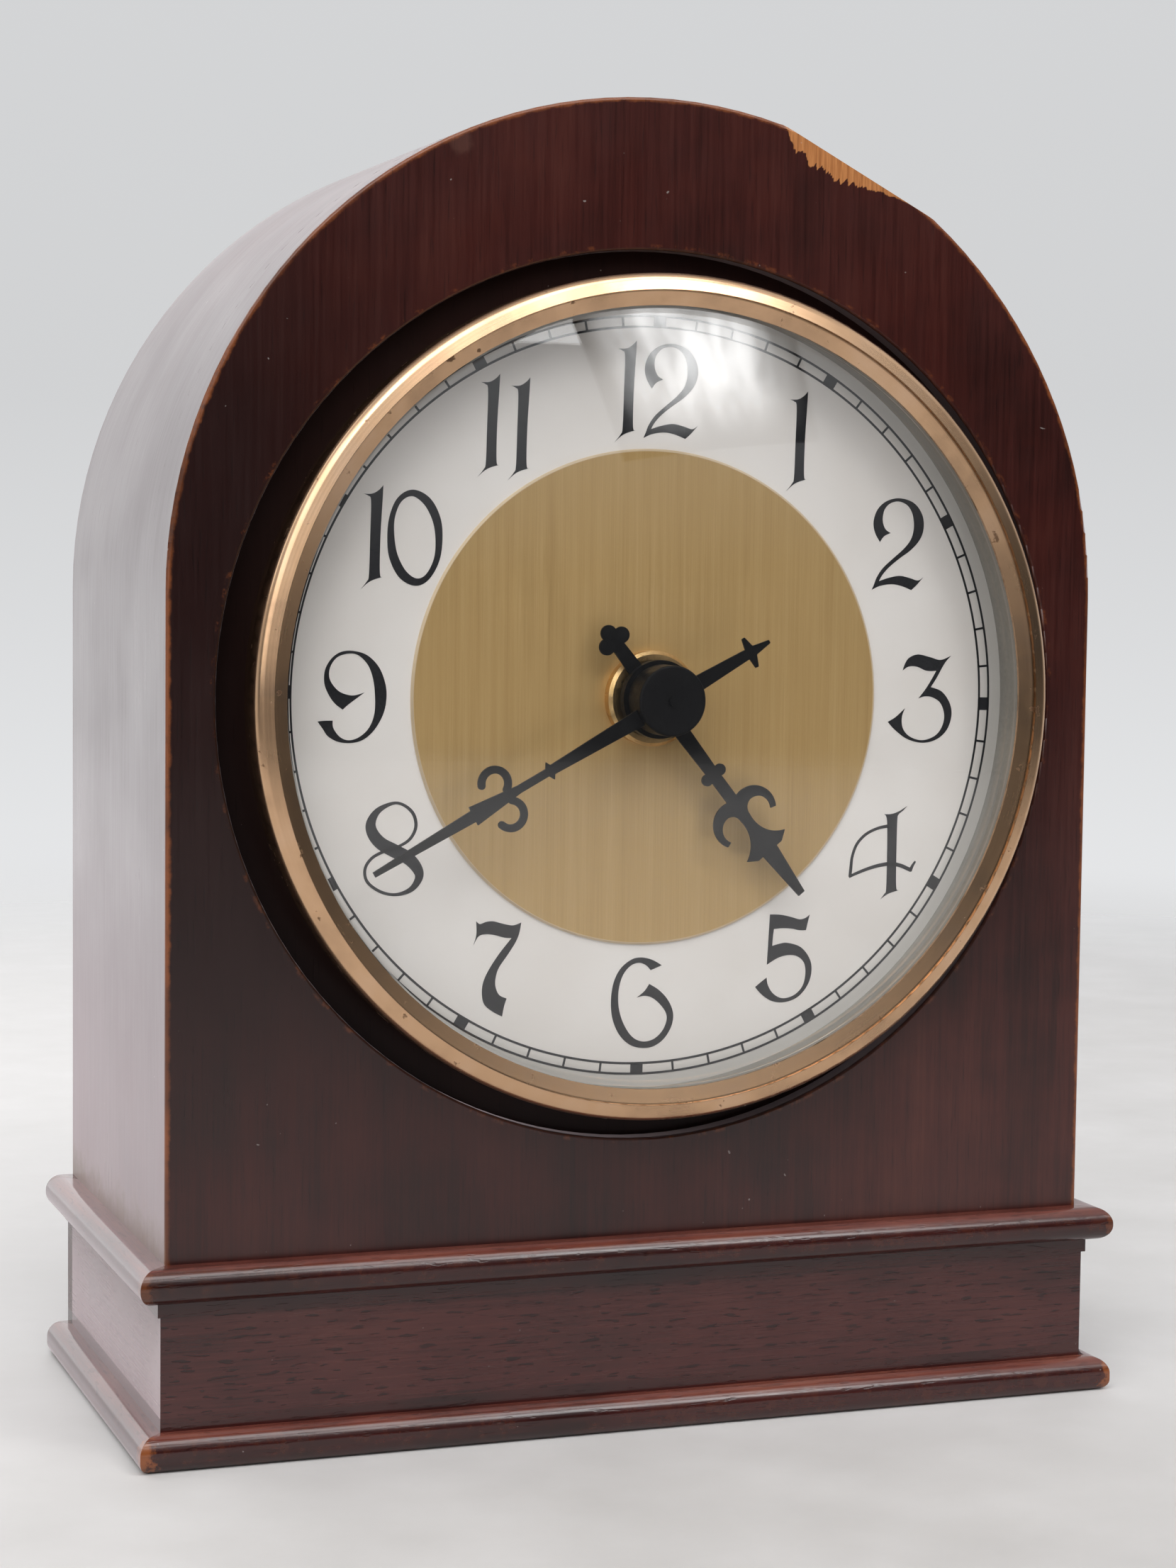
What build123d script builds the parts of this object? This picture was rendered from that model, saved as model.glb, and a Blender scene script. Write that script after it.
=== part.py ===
from build123d import *
import os
from math import cos, pi, radians, sin

# Beehive shelf clock: arched wooden case on a stepped base, brass bezel with a domed
# glass, dial with two hands, battery movement behind it and a hinged back door.
# Millimetres. X to the right and Y to the back, seen from the front, Z up.
# The origin is the middle of the base's underside.

# Base, from the table up
lower_nose_height = 5.2
lower_step_height = 2.0
plinth_height = 15.0
strip_height = 2.2
upper_nose_height = 5.2
plinth_proud = 0.8
strip_proud = 0.5
moulding_nose = 3.7
lower_nose_top_round = 2.4
lower_nose_foot_round = 1.8
lower_cove = 1.2
upper_nose_round = 2.5
plinth_wall = 8.0
corner_block = 12.0
corner_block_gap = 0.3

# Case
case_margin = 7.3
case_depth = 71.0
side_height = 97.4
panel_thickness = 12.0
hood_wall = 6.5
panel_edge_round = 0.5
dial_drop = 15.3
recess_gap = 3.9
recess_depth = 3.0
recess_edge_round = 0.4
chip_start_angle = 15.8
chip_end_angle = 38.4
chip_reach = 9.0
case_block = 12.0
case_block_length = 32.0
case_block_setback = 6.0

# Back door, hinges, knob and catch
door_thickness = 6.0
door_gap = 0.6
door_edge_round = 0.4
hinge_length = 20.0
hinge_leaf_width = 5.4
hinge_leaf = 0.8
knuckle_radius = 1.4
knuckle_length = 5.0
knuckle_gap = 0.2
hinge_lift = 0.1
hinge_pin_radius = 0.8
hinge_pin_head_radius = 1.3
hinge_pin_head = 0.6
hinge_low_height = 22.0
hinge_high_height = 78.0
hinge_screw_spacing = 12.0
hinge_screw_inset = 3.5
hinge_screw_length = 5.0
hinge_screw_head_radius = 1.3
hinge_screw_radius = 0.6
countersink_angle = 90.0
knob_inset = 16.0
knob_height = 62.0
knob_stem_radius = 2.0
knob_foot_radius = 4.0
knob_foot = 1.4
knob_neck_radius = 2.4
knob_neck = 3.0
knob_head_radius = 5.0
knob_head = 6.4
knob_crown_radius = 2.6
strike_width = 10.0
strike_height = 16.0
strike_thickness = 0.8
strike_inset = 1.0
catch_gap = 0.3
catch_width = 9.0
catch_depth = 8.0
catch_height = 18.0

# Bezel, glass and dial
cavity_radius = 60.4
bezel_lip_width = 1.9
bezel_bevel_width = 2.2
bezel_band_width = 1.4
bezel_roll_width = 1.2
bezel_undercut = 1.0
bezel_opening_proud = 7.3
bezel_step_low_proud = 8.0
bezel_step_high_proud = 8.8
bezel_band_proud = 8.3
bezel_shoulder_proud = 6.6
bezel_rim_proud = 3.2
bezel_lip = 0.5
sleeve_sheet = 0.8
tab_sheet = 0.6
tab_reach = 3.4
tab_width = 7.0
tab_count = 4
tab_start_angle = 45.0
clamp_ring_width = 5.3
clamp_ring_thickness = 1.0
lens_fit = 0.2
lens_rim = 1.5
lens_dome_inset = 0.3
lens_rise = 9.7
lens_thickness = 1.6
dial_depth = 1.7
dial_thickness = 0.6
dial_wall = 0.8
dial_centre_radius = 37.5
dial_centre_thickness = 0.5
dial_centre_edge = 0.3
retainer_width = 4.2
retainer_depth = 6.5

# Movement housing, measured square to the dial
movement_size = 56.0
movement_depth = 15.0
movement_corner = 3.0
movement_wall = 1.2
movement_cover = 1.2
washer_radius = 7.0
washer_thickness = 1.0
bush_radius = 4.0
bush_proud = 3.2
nut_radius = 7.2
nut_thickness = 2.2
nut_edge = 0.5
bay_wall = 1.0
bay_height = 11.2
post_radius = 1.5
stub_radius = 1.2
pivot_radius = 0.5
pivot_depth = 1.5
boss_radius = 1.4
stud_radius = 0.6
plate_thickness = 1.0
plate_left = 17.5
plate_right = 9.0
plate_low = 10.5
plate_high = 21.4
plate_corner = 1.5

# Battery and contacts
cell_radius = 7.1
cell_length = 49.2
cell_tip_radius = 2.7
cell_tip = 1.3
cell_edge = 0.6
cell_fit = 0.1
contact_thickness = 0.4
contact_width = 8.0
contact_rise = 4.0
spring_room = 2.5
cell_floor_gap = 0.2
cell_front_gap = 0.8

# Circuit
board_left = 10.5
board_right = 26.2
board_low = 10.0
board_high = 24.0
board_thickness = 0.8
board_standoff = 1.5
chip_blob_radius = 2.6
chip_blob = 1.0
crystal_radius = 1.0
crystal_length = 6.0

# Motor
stator_thickness = 1.0
stator_left = 25.0
stator_right = 8.6
stator_window = 17.2
stator_low = 1.0
stator_high = 23.0
stator_arm = 3.5
stator_hole_radius = 3.3
core_width = 2.8
core_place = 21.6
core_thickness = 1.0
bobbin_wall = 0.4
bobbin_flange = 0.5
coil_radius = 2.9
coil_gap = 0.4
magnet_radius = 2.8
magnet_length = 2.0

# Wheels: tooth counts, modules, thicknesses and layers behind the housing's inside
cannon_teeth = 12
minute_teeth = 36
minute_pinion_teeth = 10
hour_teeth = 40
centre_teeth = 64
third_pinion_teeth = 8
third_teeth = 60
fourth_pinion_teeth = 8
fourth_teeth = 60
rotor_pinion_teeth = 6
motion_module = 0.4
centre_module = 0.3
third_module = 0.3
fourth_module = 0.25
minute_wheel_angle = 190.0
third_wheel_angle = 60.0
fourth_wheel_angle = 165.0
rotor_angle = 180.0
hour_wheel_layer = 0.5
hour_wheel_thickness = 1.2
minute_wheel_layer = 2.1
minute_wheel_thickness = 1.0
centre_wheel_layer = 3.9
third_wheel_layer = 5.7
fourth_wheel_layer = 7.3
wheel_thickness = 0.9
pinion_overlap = 0.1
plate_layer = 11.9
addendum_share = 0.8
dedendum_share = 1.15
tooth_root_share = 0.5
tooth_tip_share = 0.22

# Hand shafts
hour_tube_radius = 2.75
hour_tube_bore_fit = 0.05
arbor_radius = 1.8
arbor_tail_radius = 1.2
set_knob_radius = 6.0
set_knob_thickness = 4.0
set_knob_gap = 0.7
set_knob_flutes = 18
set_knob_flute_radius = 0.7

# Hands: both show twenty to five, on a dial that sits about a degree off upright
dial_turn = 1.15
minute_hand_angle = 240.0
hour_hand_angle = 140.0
hand_sheet = 0.4
minute_hand_proud = 6.8
hour_hand_proud = 2.0
hour_hand_length = 38.4
minute_tail_length = 14.95
hour_tail_length = 11.2
minute_boss_radius = 5.3
hour_boss_radius = 5.9
hour_boss_thickness = 1.5
boss_gap = 0.4
cap_radius = 5.3
cap_thickness = 1.5
cap_edge = 0.4
cap_tip_radius = 0.7
cap_tip = 0.3
minute_root_width = 2.9
minute_neck_width = 1.5
minute_stem_width = 1.2
minute_flare_width = 3.0
minute_blade_width = 1.8
minute_tip_width = 0.8
minute_collar_width = 2.9
minute_collar_length = 0.9
minute_scroll_radius = 2.05
minute_scroll_width = 1.15
minute_scroll_ahead = 2.9
minute_scroll_aside = 2.6
minute_finial_width = 1.7
minute_finial_point = 3.35
minute_finial_side = 2.45
minute_finial_tip_width = 0.5
hour_root_width = 2.8
hour_neck_width = 1.9
hour_stem_width = 1.9
hour_leaf_width = 7.8
hour_barb_width = 4.8
hour_blade_width = 2.8
hour_tip_width = 1.2
hour_bump_radius = 0.9
hour_bump_aside = 1.3
hour_scroll_length = 5.4
hour_scroll_reach = 5.0
hour_finial_radius = 1.25
hour_finial_aside = 1.45
scroll_start_angle = 20.0
scroll_end_angle = 235.0
finial_spread_angle = 95.0
minute_hand_share = 0.89
minute_collar_share = 0.41
minute_junction_share = 0.515
minute_flare_share = 0.67
hour_bump_share = 0.385
hour_junction_share = 0.51
hour_leaf_share = 0.75
hour_blade_share = 0.777
scroll_outer_shares = ((0, 0.2), (0.24, 0.96), (1, 1))
scroll_inner_shares = ((0.95, 0.83), (0.48, 0.79), (0.35, 0.46))
scroll_crotch_shares = ((0.435, 0.28), (0.685, 0.18))
leaf_waist_shares = (0.58, 0.36)

# Screws
case_screw_radius = 1.5
case_screw_head_radius = 3.0
case_screw_head = 2.0
base_screw_length = 14.0
board_screw_length = 14.0
screw_slot_share = 0.3
screw_well = 3.0

# Fits
press_fit = 0.02
running_fit = 0.05
screw_clearance = 0.2
cut_overrun = 2.0

# Places worked out from the sizes above
lower_moulding_height = lower_nose_height + lower_step_height
upper_moulding_height = strip_height + upper_nose_height
plinth_top = lower_moulding_height + plinth_height
case_foot = plinth_top + upper_moulding_height
springing = case_foot + side_height
dial_z = springing - dial_drop
bezel_opening_radius = cavity_radius - bezel_lip_width
bezel_step_radius = bezel_opening_radius + bezel_bevel_width
bezel_band_radius = bezel_step_radius + bezel_band_width
bezel_radius = bezel_band_radius + bezel_roll_width
bezel_foot_radius = bezel_radius - bezel_undercut
recess_radius = bezel_radius + recess_gap
case_half = recess_radius + case_margin
inner_half = case_half - hood_wall
plinth_half = case_half + plinth_proud
base_half = plinth_half + moulding_nose
base_depth = case_depth + plinth_proud + moulding_nose
base_front = -base_depth / 2
base_back = base_depth / 2
plinth_front_y = base_front + moulding_nose
plinth_depth = base_back - plinth_front_y
case_front = plinth_front_y + plinth_proud
case_back = base_back
panel_back = case_front + panel_thickness
recess_floor = case_front + recess_depth
sleeve_radius = cavity_radius + sleeve_sheet
bore_radius = sleeve_radius + lens_fit
clamp_ring_radius = sleeve_radius + clamp_ring_width
ring_back = panel_back + clamp_ring_thickness
sleeve_end = ring_back + tab_sheet
seat_y = case_front - bezel_opening_proud + bezel_lip
lens_radius = cavity_radius - lens_fit
lens_dome_radius = bezel_opening_radius - lens_dome_inset
retainer_radius = lens_radius - retainer_width
minute_hand_length = lens_dome_radius * minute_hand_share
lens_back = seat_y + lens_rim
dial_front = case_front + dial_depth
dial_back = dial_front + dial_thickness
gold_front = dial_front - dial_centre_thickness
house_front = dial_back + washer_thickness
house_inside = house_front + movement_wall
cell_width_room = spring_room + cell_length + cell_tip + cell_fit * 2 + contact_thickness
cell_height_room = bay_height + bay_wall + (cell_radius + cell_fit) * 2 + cell_floor_gap
cell_depth_room = movement_wall + cell_front_gap + cell_radius * 2 - movement_cover
movement_width = max(movement_size, cell_width_room + movement_wall * 2)
movement_height = max(movement_size, (cell_height_room + movement_wall) * 2)
house_depth = max(movement_depth, cell_depth_room)
inner_house_width = movement_width - movement_wall * 2
inner_house_height = movement_height - movement_wall * 2
inner_house = inner_house_width / 2
house_back = house_front + house_depth
cover_back = house_back + movement_cover
bush_front = gold_front - bush_proud
plate_front = house_inside + plate_layer
plate_back = plate_front + plate_thickness
dial_axis = Axis((0, 0, dial_z), (0, 1, 0))
axial_plane = Plane(origin=(0, 0, dial_z))
low_end = (Align.CENTER, Align.CENTER, Align.MIN)
high_end = (Align.CENTER, Align.CENTER, Align.MAX)

os.makedirs("parts", exist_ok=True)


def front_plane(y):
    """Plane across the clock at depth y, drawn as seen from the front."""
    return Plane(origin=(0, y, 0), x_dir=(1, 0, 0), z_dir=(0, -1, 0))


def dial_plane(y, across=0, up=0):
    """The same, with its origin on the dial's axis or at an offset from it."""
    return Plane(origin=(across, y, dial_z + up), x_dir=(1, 0, 0), z_dir=(0, -1, 0))


def hand_plane(y, angle):
    """Plane of a hand: its X runs along the hand, clockwise from twelve."""
    turn = radians(angle + dial_turn)
    return Plane(origin=(0, y, dial_z), x_dir=(sin(turn), 0, cos(turn)), z_dir=(0, -1, 0))


def arch(half_width, foot, spring):
    """Outline of an upright arch: straight sides under a half circle."""
    with BuildSketch() as outline:
        with BuildLine():
            Polyline((half_width, spring), (half_width, foot), (-half_width, foot), (-half_width, spring))
            CenterArc((0, spring), half_width, 0, 180)
        make_face()
    return outline.sketch


def pan_screws(places, length):
    """Slotted screws: each place is the seat under the head, facing out of it."""
    slot = case_screw_head_radius * screw_slot_share
    tops = [place.offset(case_screw_head) for place in places]
    with BuildPart() as group:
        with Locations(*places):
            Cylinder(case_screw_radius, length, align=high_end)
            Cylinder(case_screw_head_radius, case_screw_head, align=low_end)
        with Locations(*tops):
            Box(case_screw_head_radius * 2 + cut_overrun, slot, slot * 2, mode=Mode.SUBTRACT)
    return group.part


def flat_screws(places, length):
    """Slotted countersunk screws: each place is the flush top of a head."""
    slot = hinge_screw_head_radius * screw_slot_share
    head = hinge_screw_head_radius - hinge_screw_radius
    with BuildPart() as group:
        with Locations(*places):
            Cylinder(hinge_screw_radius, length, align=high_end)
            Cone(hinge_screw_radius, hinge_screw_head_radius, head, align=high_end)
            Box(hinge_screw_head_radius * 2 + cut_overrun, slot, slot * 2, mode=Mode.SUBTRACT)
    return group.part


def gear(teeth, module, first_tooth):
    """Wheel outline with straight-flanked teeth, one of them at the given angle."""
    pitch_radius = teeth * module / 2
    root = pitch_radius - dedendum_share * module
    tip = pitch_radius + addendum_share * module
    root_half = tooth_root_share * module * pi / 2
    tip_half = tooth_tip_share * module * pi / 2
    foot = root - module / 2
    with BuildSketch() as outline:
        Circle(root)
        with PolarLocations(0, teeth, start_angle=first_tooth):
            Polygon((foot, -root_half), (tip, -tip_half), (tip, tip_half), (foot, root_half), align=None)
    return outline.sketch


def scroll(ahead, aside, radius, width, side):
    """One C-scroll of a hand, curling outwards on the given side."""
    centre = Plane((ahead, side * aside, 0))
    arc = Edge.make_circle(radius, centre, start_angle=scroll_start_angle, end_angle=scroll_end_angle)
    if side < 0:
        arc = Edge.make_circle(radius, centre, start_angle=-scroll_end_angle, end_angle=-scroll_start_angle)
    return SlotArc(arc, width, mode=Mode.PRIVATE)


def polar(distance, angle):
    """Across and up for a distance at an angle from the right."""
    return distance * cos(radians(angle)), distance * sin(radians(angle))


def finish(builder, label):
    """Name a finished piece and write it out."""
    builder.part.label = label
    export_step(builder.part, f"parts/{label}.step")


# Lower moulding: round nose on three sides, small cove up to the plinth
block_x = plinth_half - plinth_wall - corner_block_gap - corner_block / 2
block_front = plinth_front_y + plinth_wall + corner_block_gap + corner_block / 2
block_back = base_back - plinth_wall - corner_block_gap - corner_block / 2
block_places = [(x, y) for x in (-block_x, block_x) for y in (block_front, block_back)]
base_screw_places = [Plane((x, y, screw_well), z_dir=(0, 0, -1)) for x, y in block_places]
plinth_mid_y = plinth_front_y + plinth_depth / 2
with BuildPart() as lower_moulding:
    with BuildSketch():
        Rectangle(base_half * 2, base_depth)
    extrude(amount=lower_nose_height)
    nose_top = lower_moulding.faces().sort_by(Axis.Z)[-1].edges().sort_by(Axis.Y)[:-1]
    nose_foot = lower_moulding.faces().sort_by(Axis.Z)[0].edges().sort_by(Axis.Y)[:-1]
    fillet(nose_top, radius=lower_nose_top_round)
    fillet(nose_foot, radius=lower_nose_foot_round)
    with BuildSketch(Plane.XY.offset(lower_nose_height)):
        with Locations((0, plinth_mid_y)):
            Rectangle(plinth_half * 2, plinth_depth)
    extrude(amount=lower_step_height)
    seam = lower_moulding.edges().filter_by_position(Axis.Z, lower_nose_height, lower_nose_height)
    cove_front = seam.filter_by(Axis.X).sort_by(Axis.Y)[1]
    cove_sides = seam.filter_by(Axis.Y).sort_by(Axis.X)[1:3]
    fillet([cove_front, *cove_sides], radius=lower_cove)
    with Locations(*base_screw_places):
        Cylinder(case_screw_radius + screw_clearance, lower_moulding_height + cut_overrun,
                 align=high_end, mode=Mode.SUBTRACT)
        Cylinder(case_screw_head_radius + screw_clearance, screw_well + cut_overrun,
                 align=low_end, mode=Mode.SUBTRACT)
finish(lower_moulding, "lower_moulding")

# Plinth: four mitred boards round an empty middle
plinth_outer = [(-plinth_half, plinth_front_y), (plinth_half, plinth_front_y),
                (plinth_half, base_back), (-plinth_half, base_back)]
plinth_inner = [(-plinth_half + plinth_wall, plinth_front_y + plinth_wall),
                (plinth_half - plinth_wall, plinth_front_y + plinth_wall),
                (plinth_half - plinth_wall, base_back - plinth_wall),
                (-plinth_half + plinth_wall, base_back - plinth_wall)]
for index, side in enumerate(("front", "right", "back", "left")):
    after = (index + 1) % len(plinth_outer)
    with BuildPart() as plinth_board:
        with BuildSketch(Plane.XY.offset(lower_moulding_height)):
            Polygon(plinth_outer[index], plinth_outer[after], plinth_inner[after], plinth_inner[index],
                    align=None)
        extrude(amount=plinth_height)
    finish(plinth_board, f"plinth_{side}")

# Corner blocks glued into the plinth, with pilot holes for the base screws
with BuildPart() as plinth_blocks:
    with Locations(*[(x, y, lower_moulding_height) for x, y in block_places]):
        Box(corner_block, corner_block, plinth_height, align=low_end)
    with Locations(*base_screw_places):
        Cylinder(case_screw_radius + press_fit, base_screw_length, align=high_end, mode=Mode.SUBTRACT)
finish(plinth_blocks, "plinth_blocks")

base_screw_set = pan_screws(base_screw_places, base_screw_length)
with BuildPart() as base_screws:
    add(base_screw_set)
finish(base_screws, "base_screws")

# Upper moulding: thin strip, then a board with a full round nose on three sides
case_block_x = inner_half - case_block / 2
case_block_front = panel_back + case_block_setback
case_screw_rows = (case_block_front + case_block / 2, case_block_front + case_block_length - case_block / 2)
board_screw_places = [Plane((x, y, plinth_top), z_dir=(0, 0, -1))
                      for x in (-case_block_x, case_block_x) for y in case_screw_rows]
with BuildPart() as upper_moulding:
    with BuildSketch(Plane.XY.offset(plinth_top + strip_height)):
        Rectangle(base_half * 2, base_depth)
    extrude(amount=upper_nose_height)
    nose_top = upper_moulding.faces().sort_by(Axis.Z)[-1].edges().sort_by(Axis.Y)[:-1]
    nose_foot = upper_moulding.faces().sort_by(Axis.Z)[0].edges().sort_by(Axis.Y)[:-1]
    fillet([*nose_top, *nose_foot], radius=upper_nose_round)
    with BuildSketch(Plane.XY.offset(plinth_top)):
        with Locations((0, plinth_mid_y - strip_proud / 2)):
            Rectangle((plinth_half + strip_proud) * 2, plinth_depth + strip_proud)
    extrude(amount=strip_height)
    with Locations(*board_screw_places):
        Cylinder(case_screw_radius + screw_clearance, upper_moulding_height + cut_overrun,
                 align=high_end, mode=Mode.SUBTRACT)
finish(upper_moulding, "upper_moulding")

# Front board: arched, with a stepped round hole and a splinter lost from its edge
case_outline = arch(case_half, case_foot, springing)
chip_outer = case_half + cut_overrun
chip_start = radians(chip_start_angle)
chip_end = radians(chip_end_angle)
with BuildPart() as front_panel:
    with BuildSketch(front_plane(panel_back)):
        add(case_outline)
    extrude(amount=panel_thickness)
    face_edges = front_panel.faces().sort_by(Axis.Y)[0].edges()
    fillet(face_edges.sort_by(Axis.Z)[1:], radius=panel_edge_round)
    with BuildSketch(dial_plane(case_front)):
        Circle(recess_radius)
    extrude(amount=-recess_depth, mode=Mode.SUBTRACT)
    with BuildSketch(dial_plane(case_front)):
        Circle(bore_radius)
    extrude(amount=-panel_thickness, mode=Mode.SUBTRACT)
    rim = front_panel.edges().filter_by(GeomType.CIRCLE).sort_by(Axis.Y)
    mouth = [edge for edge in rim if abs(edge.radius - recess_radius) < press_fit][0]
    fillet(mouth, radius=recess_edge_round)
    with BuildSketch(front_plane(case_front - cut_overrun)):
        Polygon((case_half * sin(chip_start), springing + case_half * cos(chip_start)),
                (case_half * sin(chip_end), springing + case_half * cos(chip_end)),
                (chip_outer * sin(chip_end), springing + chip_outer * cos(chip_end)),
                (chip_outer * sin(chip_start), springing + chip_outer * cos(chip_start)), align=None)
    extrude(amount=-chip_reach - cut_overrun, mode=Mode.SUBTRACT)
finish(front_panel, "front_panel")

# Hood: bent shell behind the front board, open at the foot and the back
hinge_x = inner_half - door_gap / 2
hinge_y = case_back + hinge_lift + knuckle_radius
hinge_heights = (case_foot + hinge_low_height, case_foot + hinge_high_height)
hinge_screw_heights = [z + step * hinge_screw_spacing / 2 for z in hinge_heights for step in (-1, 1)]
leaf_back = case_back + hinge_leaf
case_screw_spots = [Plane((hinge_x + hinge_screw_inset, leaf_back, z), z_dir=(0, 1, 0))
                    for z in hinge_screw_heights]
door_screw_spots = [Plane((hinge_x - hinge_screw_inset, leaf_back, z), z_dir=(0, 1, 0))
                    for z in hinge_screw_heights]
inside_outline = arch(inner_half, case_foot, springing)
with BuildPart() as hood:
    with BuildSketch(front_plane(panel_back)):
        add(case_outline)
        add(inside_outline, mode=Mode.SUBTRACT)
    extrude(amount=panel_back - case_back)
    with Locations(*case_screw_spots):
        Cylinder(hinge_screw_radius + press_fit, hinge_screw_length, align=high_end, mode=Mode.SUBTRACT)
finish(hood, "hood")

# Blocks glued inside the foot of the hood, screwed down to the base
with BuildPart() as case_blocks:
    with Locations((-case_block_x, case_block_front, case_foot), (case_block_x, case_block_front, case_foot)):
        Box(case_block, case_block_length, case_block, align=(Align.CENTER, Align.MIN, Align.MIN))
    with Locations(*board_screw_places):
        Cylinder(case_screw_radius + press_fit, board_screw_length, align=high_end, mode=Mode.SUBTRACT)
finish(case_blocks, "case_blocks")

board_screw_set = pan_screws(board_screw_places, board_screw_length)
with BuildPart() as case_screws:
    add(board_screw_set)
finish(case_screws, "case_screws")

# Back door, flush in the hood's mouth
door_front = case_back - door_thickness
knob_x = -inner_half + knob_inset
knob_z = case_foot + knob_height
door_outline = arch(inner_half - door_gap, case_foot + door_gap, springing)
with BuildPart() as back_door:
    with BuildSketch(front_plane(case_back)):
        add(door_outline)
    extrude(amount=door_thickness)
    back_edges = back_door.faces().sort_by(Axis.Y)[-1].edges()
    fillet(back_edges, radius=door_edge_round)
    with Locations(Plane((knob_x, case_back, knob_z), z_dir=(0, 1, 0))):
        Cylinder(knob_stem_radius + press_fit, door_thickness * 2 + cut_overrun, mode=Mode.SUBTRACT)
    with Locations(*door_screw_spots):
        Cylinder(hinge_screw_radius + press_fit, hinge_screw_length, align=high_end, mode=Mode.SUBTRACT)
finish(back_door, "back_door")

# Two small butt hinges on the back: leaves, knuckles and loose pins
outer_knuckle = (hinge_length - knuckle_length) / 2
middle_knuckle = hinge_length - knuckle_length * 2 - knuckle_gap * 2
outer_places = [(hinge_x, hinge_y, z + step * outer_knuckle) for z in hinge_heights for step in (-1, 1)]
middle_places = [(hinge_x, hinge_y, z) for z in hinge_heights]
leaf_places = [(hinge_x, case_back, z) for z in hinge_heights]
knuckle_notch = knuckle_radius + knuckle_gap
screw_head_radius = hinge_screw_head_radius + press_fit
with BuildPart() as hinge_case_leaves:
    with Locations(*leaf_places):
        Box(hinge_leaf_width, hinge_leaf, hinge_length, align=(Align.MIN, Align.MIN, Align.CENTER))
        Box(knuckle_notch, hinge_leaf, middle_knuckle + knuckle_gap * 2,
            align=(Align.MIN, Align.MIN, Align.CENTER), mode=Mode.SUBTRACT)
    with Locations(*outer_places):
        Cylinder(knuckle_radius, knuckle_length)
        Cylinder(hinge_pin_radius + press_fit, knuckle_length, mode=Mode.SUBTRACT)
    with Locations(*case_screw_spots):
        CounterSinkHole(hinge_screw_radius + press_fit, screw_head_radius, hinge_screw_length,
                        countersink_angle)
finish(hinge_case_leaves, "hinge_case_leaves")

with BuildPart() as hinge_door_leaves:
    with Locations(*leaf_places):
        Box(hinge_leaf_width, hinge_leaf, hinge_length, align=(Align.MAX, Align.MIN, Align.CENTER))
    with Locations(*[(hinge_x, case_back, z) for x, y, z in outer_places]):
        Box(knuckle_notch, hinge_leaf, knuckle_length + knuckle_gap * 2,
            align=(Align.MAX, Align.MIN, Align.CENTER), mode=Mode.SUBTRACT)
    with Locations(*middle_places):
        Cylinder(knuckle_radius, middle_knuckle)
        Cylinder(hinge_pin_radius + running_fit, middle_knuckle, mode=Mode.SUBTRACT)
    with Locations(*door_screw_spots):
        CounterSinkHole(hinge_screw_radius + press_fit, screw_head_radius, hinge_screw_length,
                        countersink_angle)
finish(hinge_door_leaves, "hinge_door_leaves")

with BuildPart() as hinge_pins:
    with Locations(*middle_places):
        Cylinder(hinge_pin_radius, hinge_length)
    with Locations(*[(hinge_x, hinge_y, z + hinge_length / 2) for z in hinge_heights]):
        Cylinder(hinge_pin_head_radius, hinge_pin_head, align=low_end)
    with Locations(*[(hinge_x, hinge_y, z - hinge_length / 2) for z in hinge_heights]):
        Cylinder(hinge_pin_head_radius, hinge_pin_head, align=high_end)
finish(hinge_pins, "hinge_pins")

case_screw_set = flat_screws(case_screw_spots, hinge_screw_length)
with BuildPart() as hinge_case_screws:
    add(case_screw_set)
finish(hinge_case_screws, "hinge_case_screws")

door_screw_set = flat_screws(door_screw_spots, hinge_screw_length)
with BuildPart() as hinge_door_screws:
    add(door_screw_set)
finish(hinge_door_screws, "hinge_door_screws")

# Turned knob with a stem glued through the door
knob_plane = Plane(origin=(knob_x, 0, knob_z))
knob_neck_y = case_back + knob_foot + knob_neck
knob_end = knob_neck_y + knob_head
with BuildPart() as door_knob:
    with BuildSketch(knob_plane):
        with BuildLine():
            Polyline((0, knob_end), (0, door_front), (knob_stem_radius, door_front),
                     (knob_stem_radius, case_back), (knob_foot_radius, case_back),
                     (knob_foot_radius, case_back + knob_foot),
                     (knob_neck_radius, case_back + knob_foot), (knob_neck_radius, knob_neck_y))
            ThreePointArc((knob_neck_radius, knob_neck_y), (knob_head_radius, knob_neck_y + knob_head / 2),
                          (knob_crown_radius, knob_end))
            Line((knob_crown_radius, knob_end), (0, knob_end))
        make_face()
    revolve(axis=Axis((knob_x, 0, knob_z), (0, 1, 0)))
finish(door_knob, "door_knob")

# Magnetic catch: magnet block on the hood's wall, strike plate on the door
strike_x = -inner_half + door_gap + strike_inset
with BuildPart() as strike_plate:
    with Locations((strike_x, door_front, knob_z)):
        Box(strike_width, strike_thickness, strike_height, align=(Align.MIN, Align.MAX, Align.CENTER))
finish(strike_plate, "strike_plate")

with BuildPart() as catch_magnet:
    with Locations((-inner_half, door_front - strike_thickness - catch_gap, knob_z)):
        Box(catch_width, catch_depth, catch_height, align=(Align.MIN, Align.MAX, Align.CENTER))
finish(catch_magnet, "catch_magnet")

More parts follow.
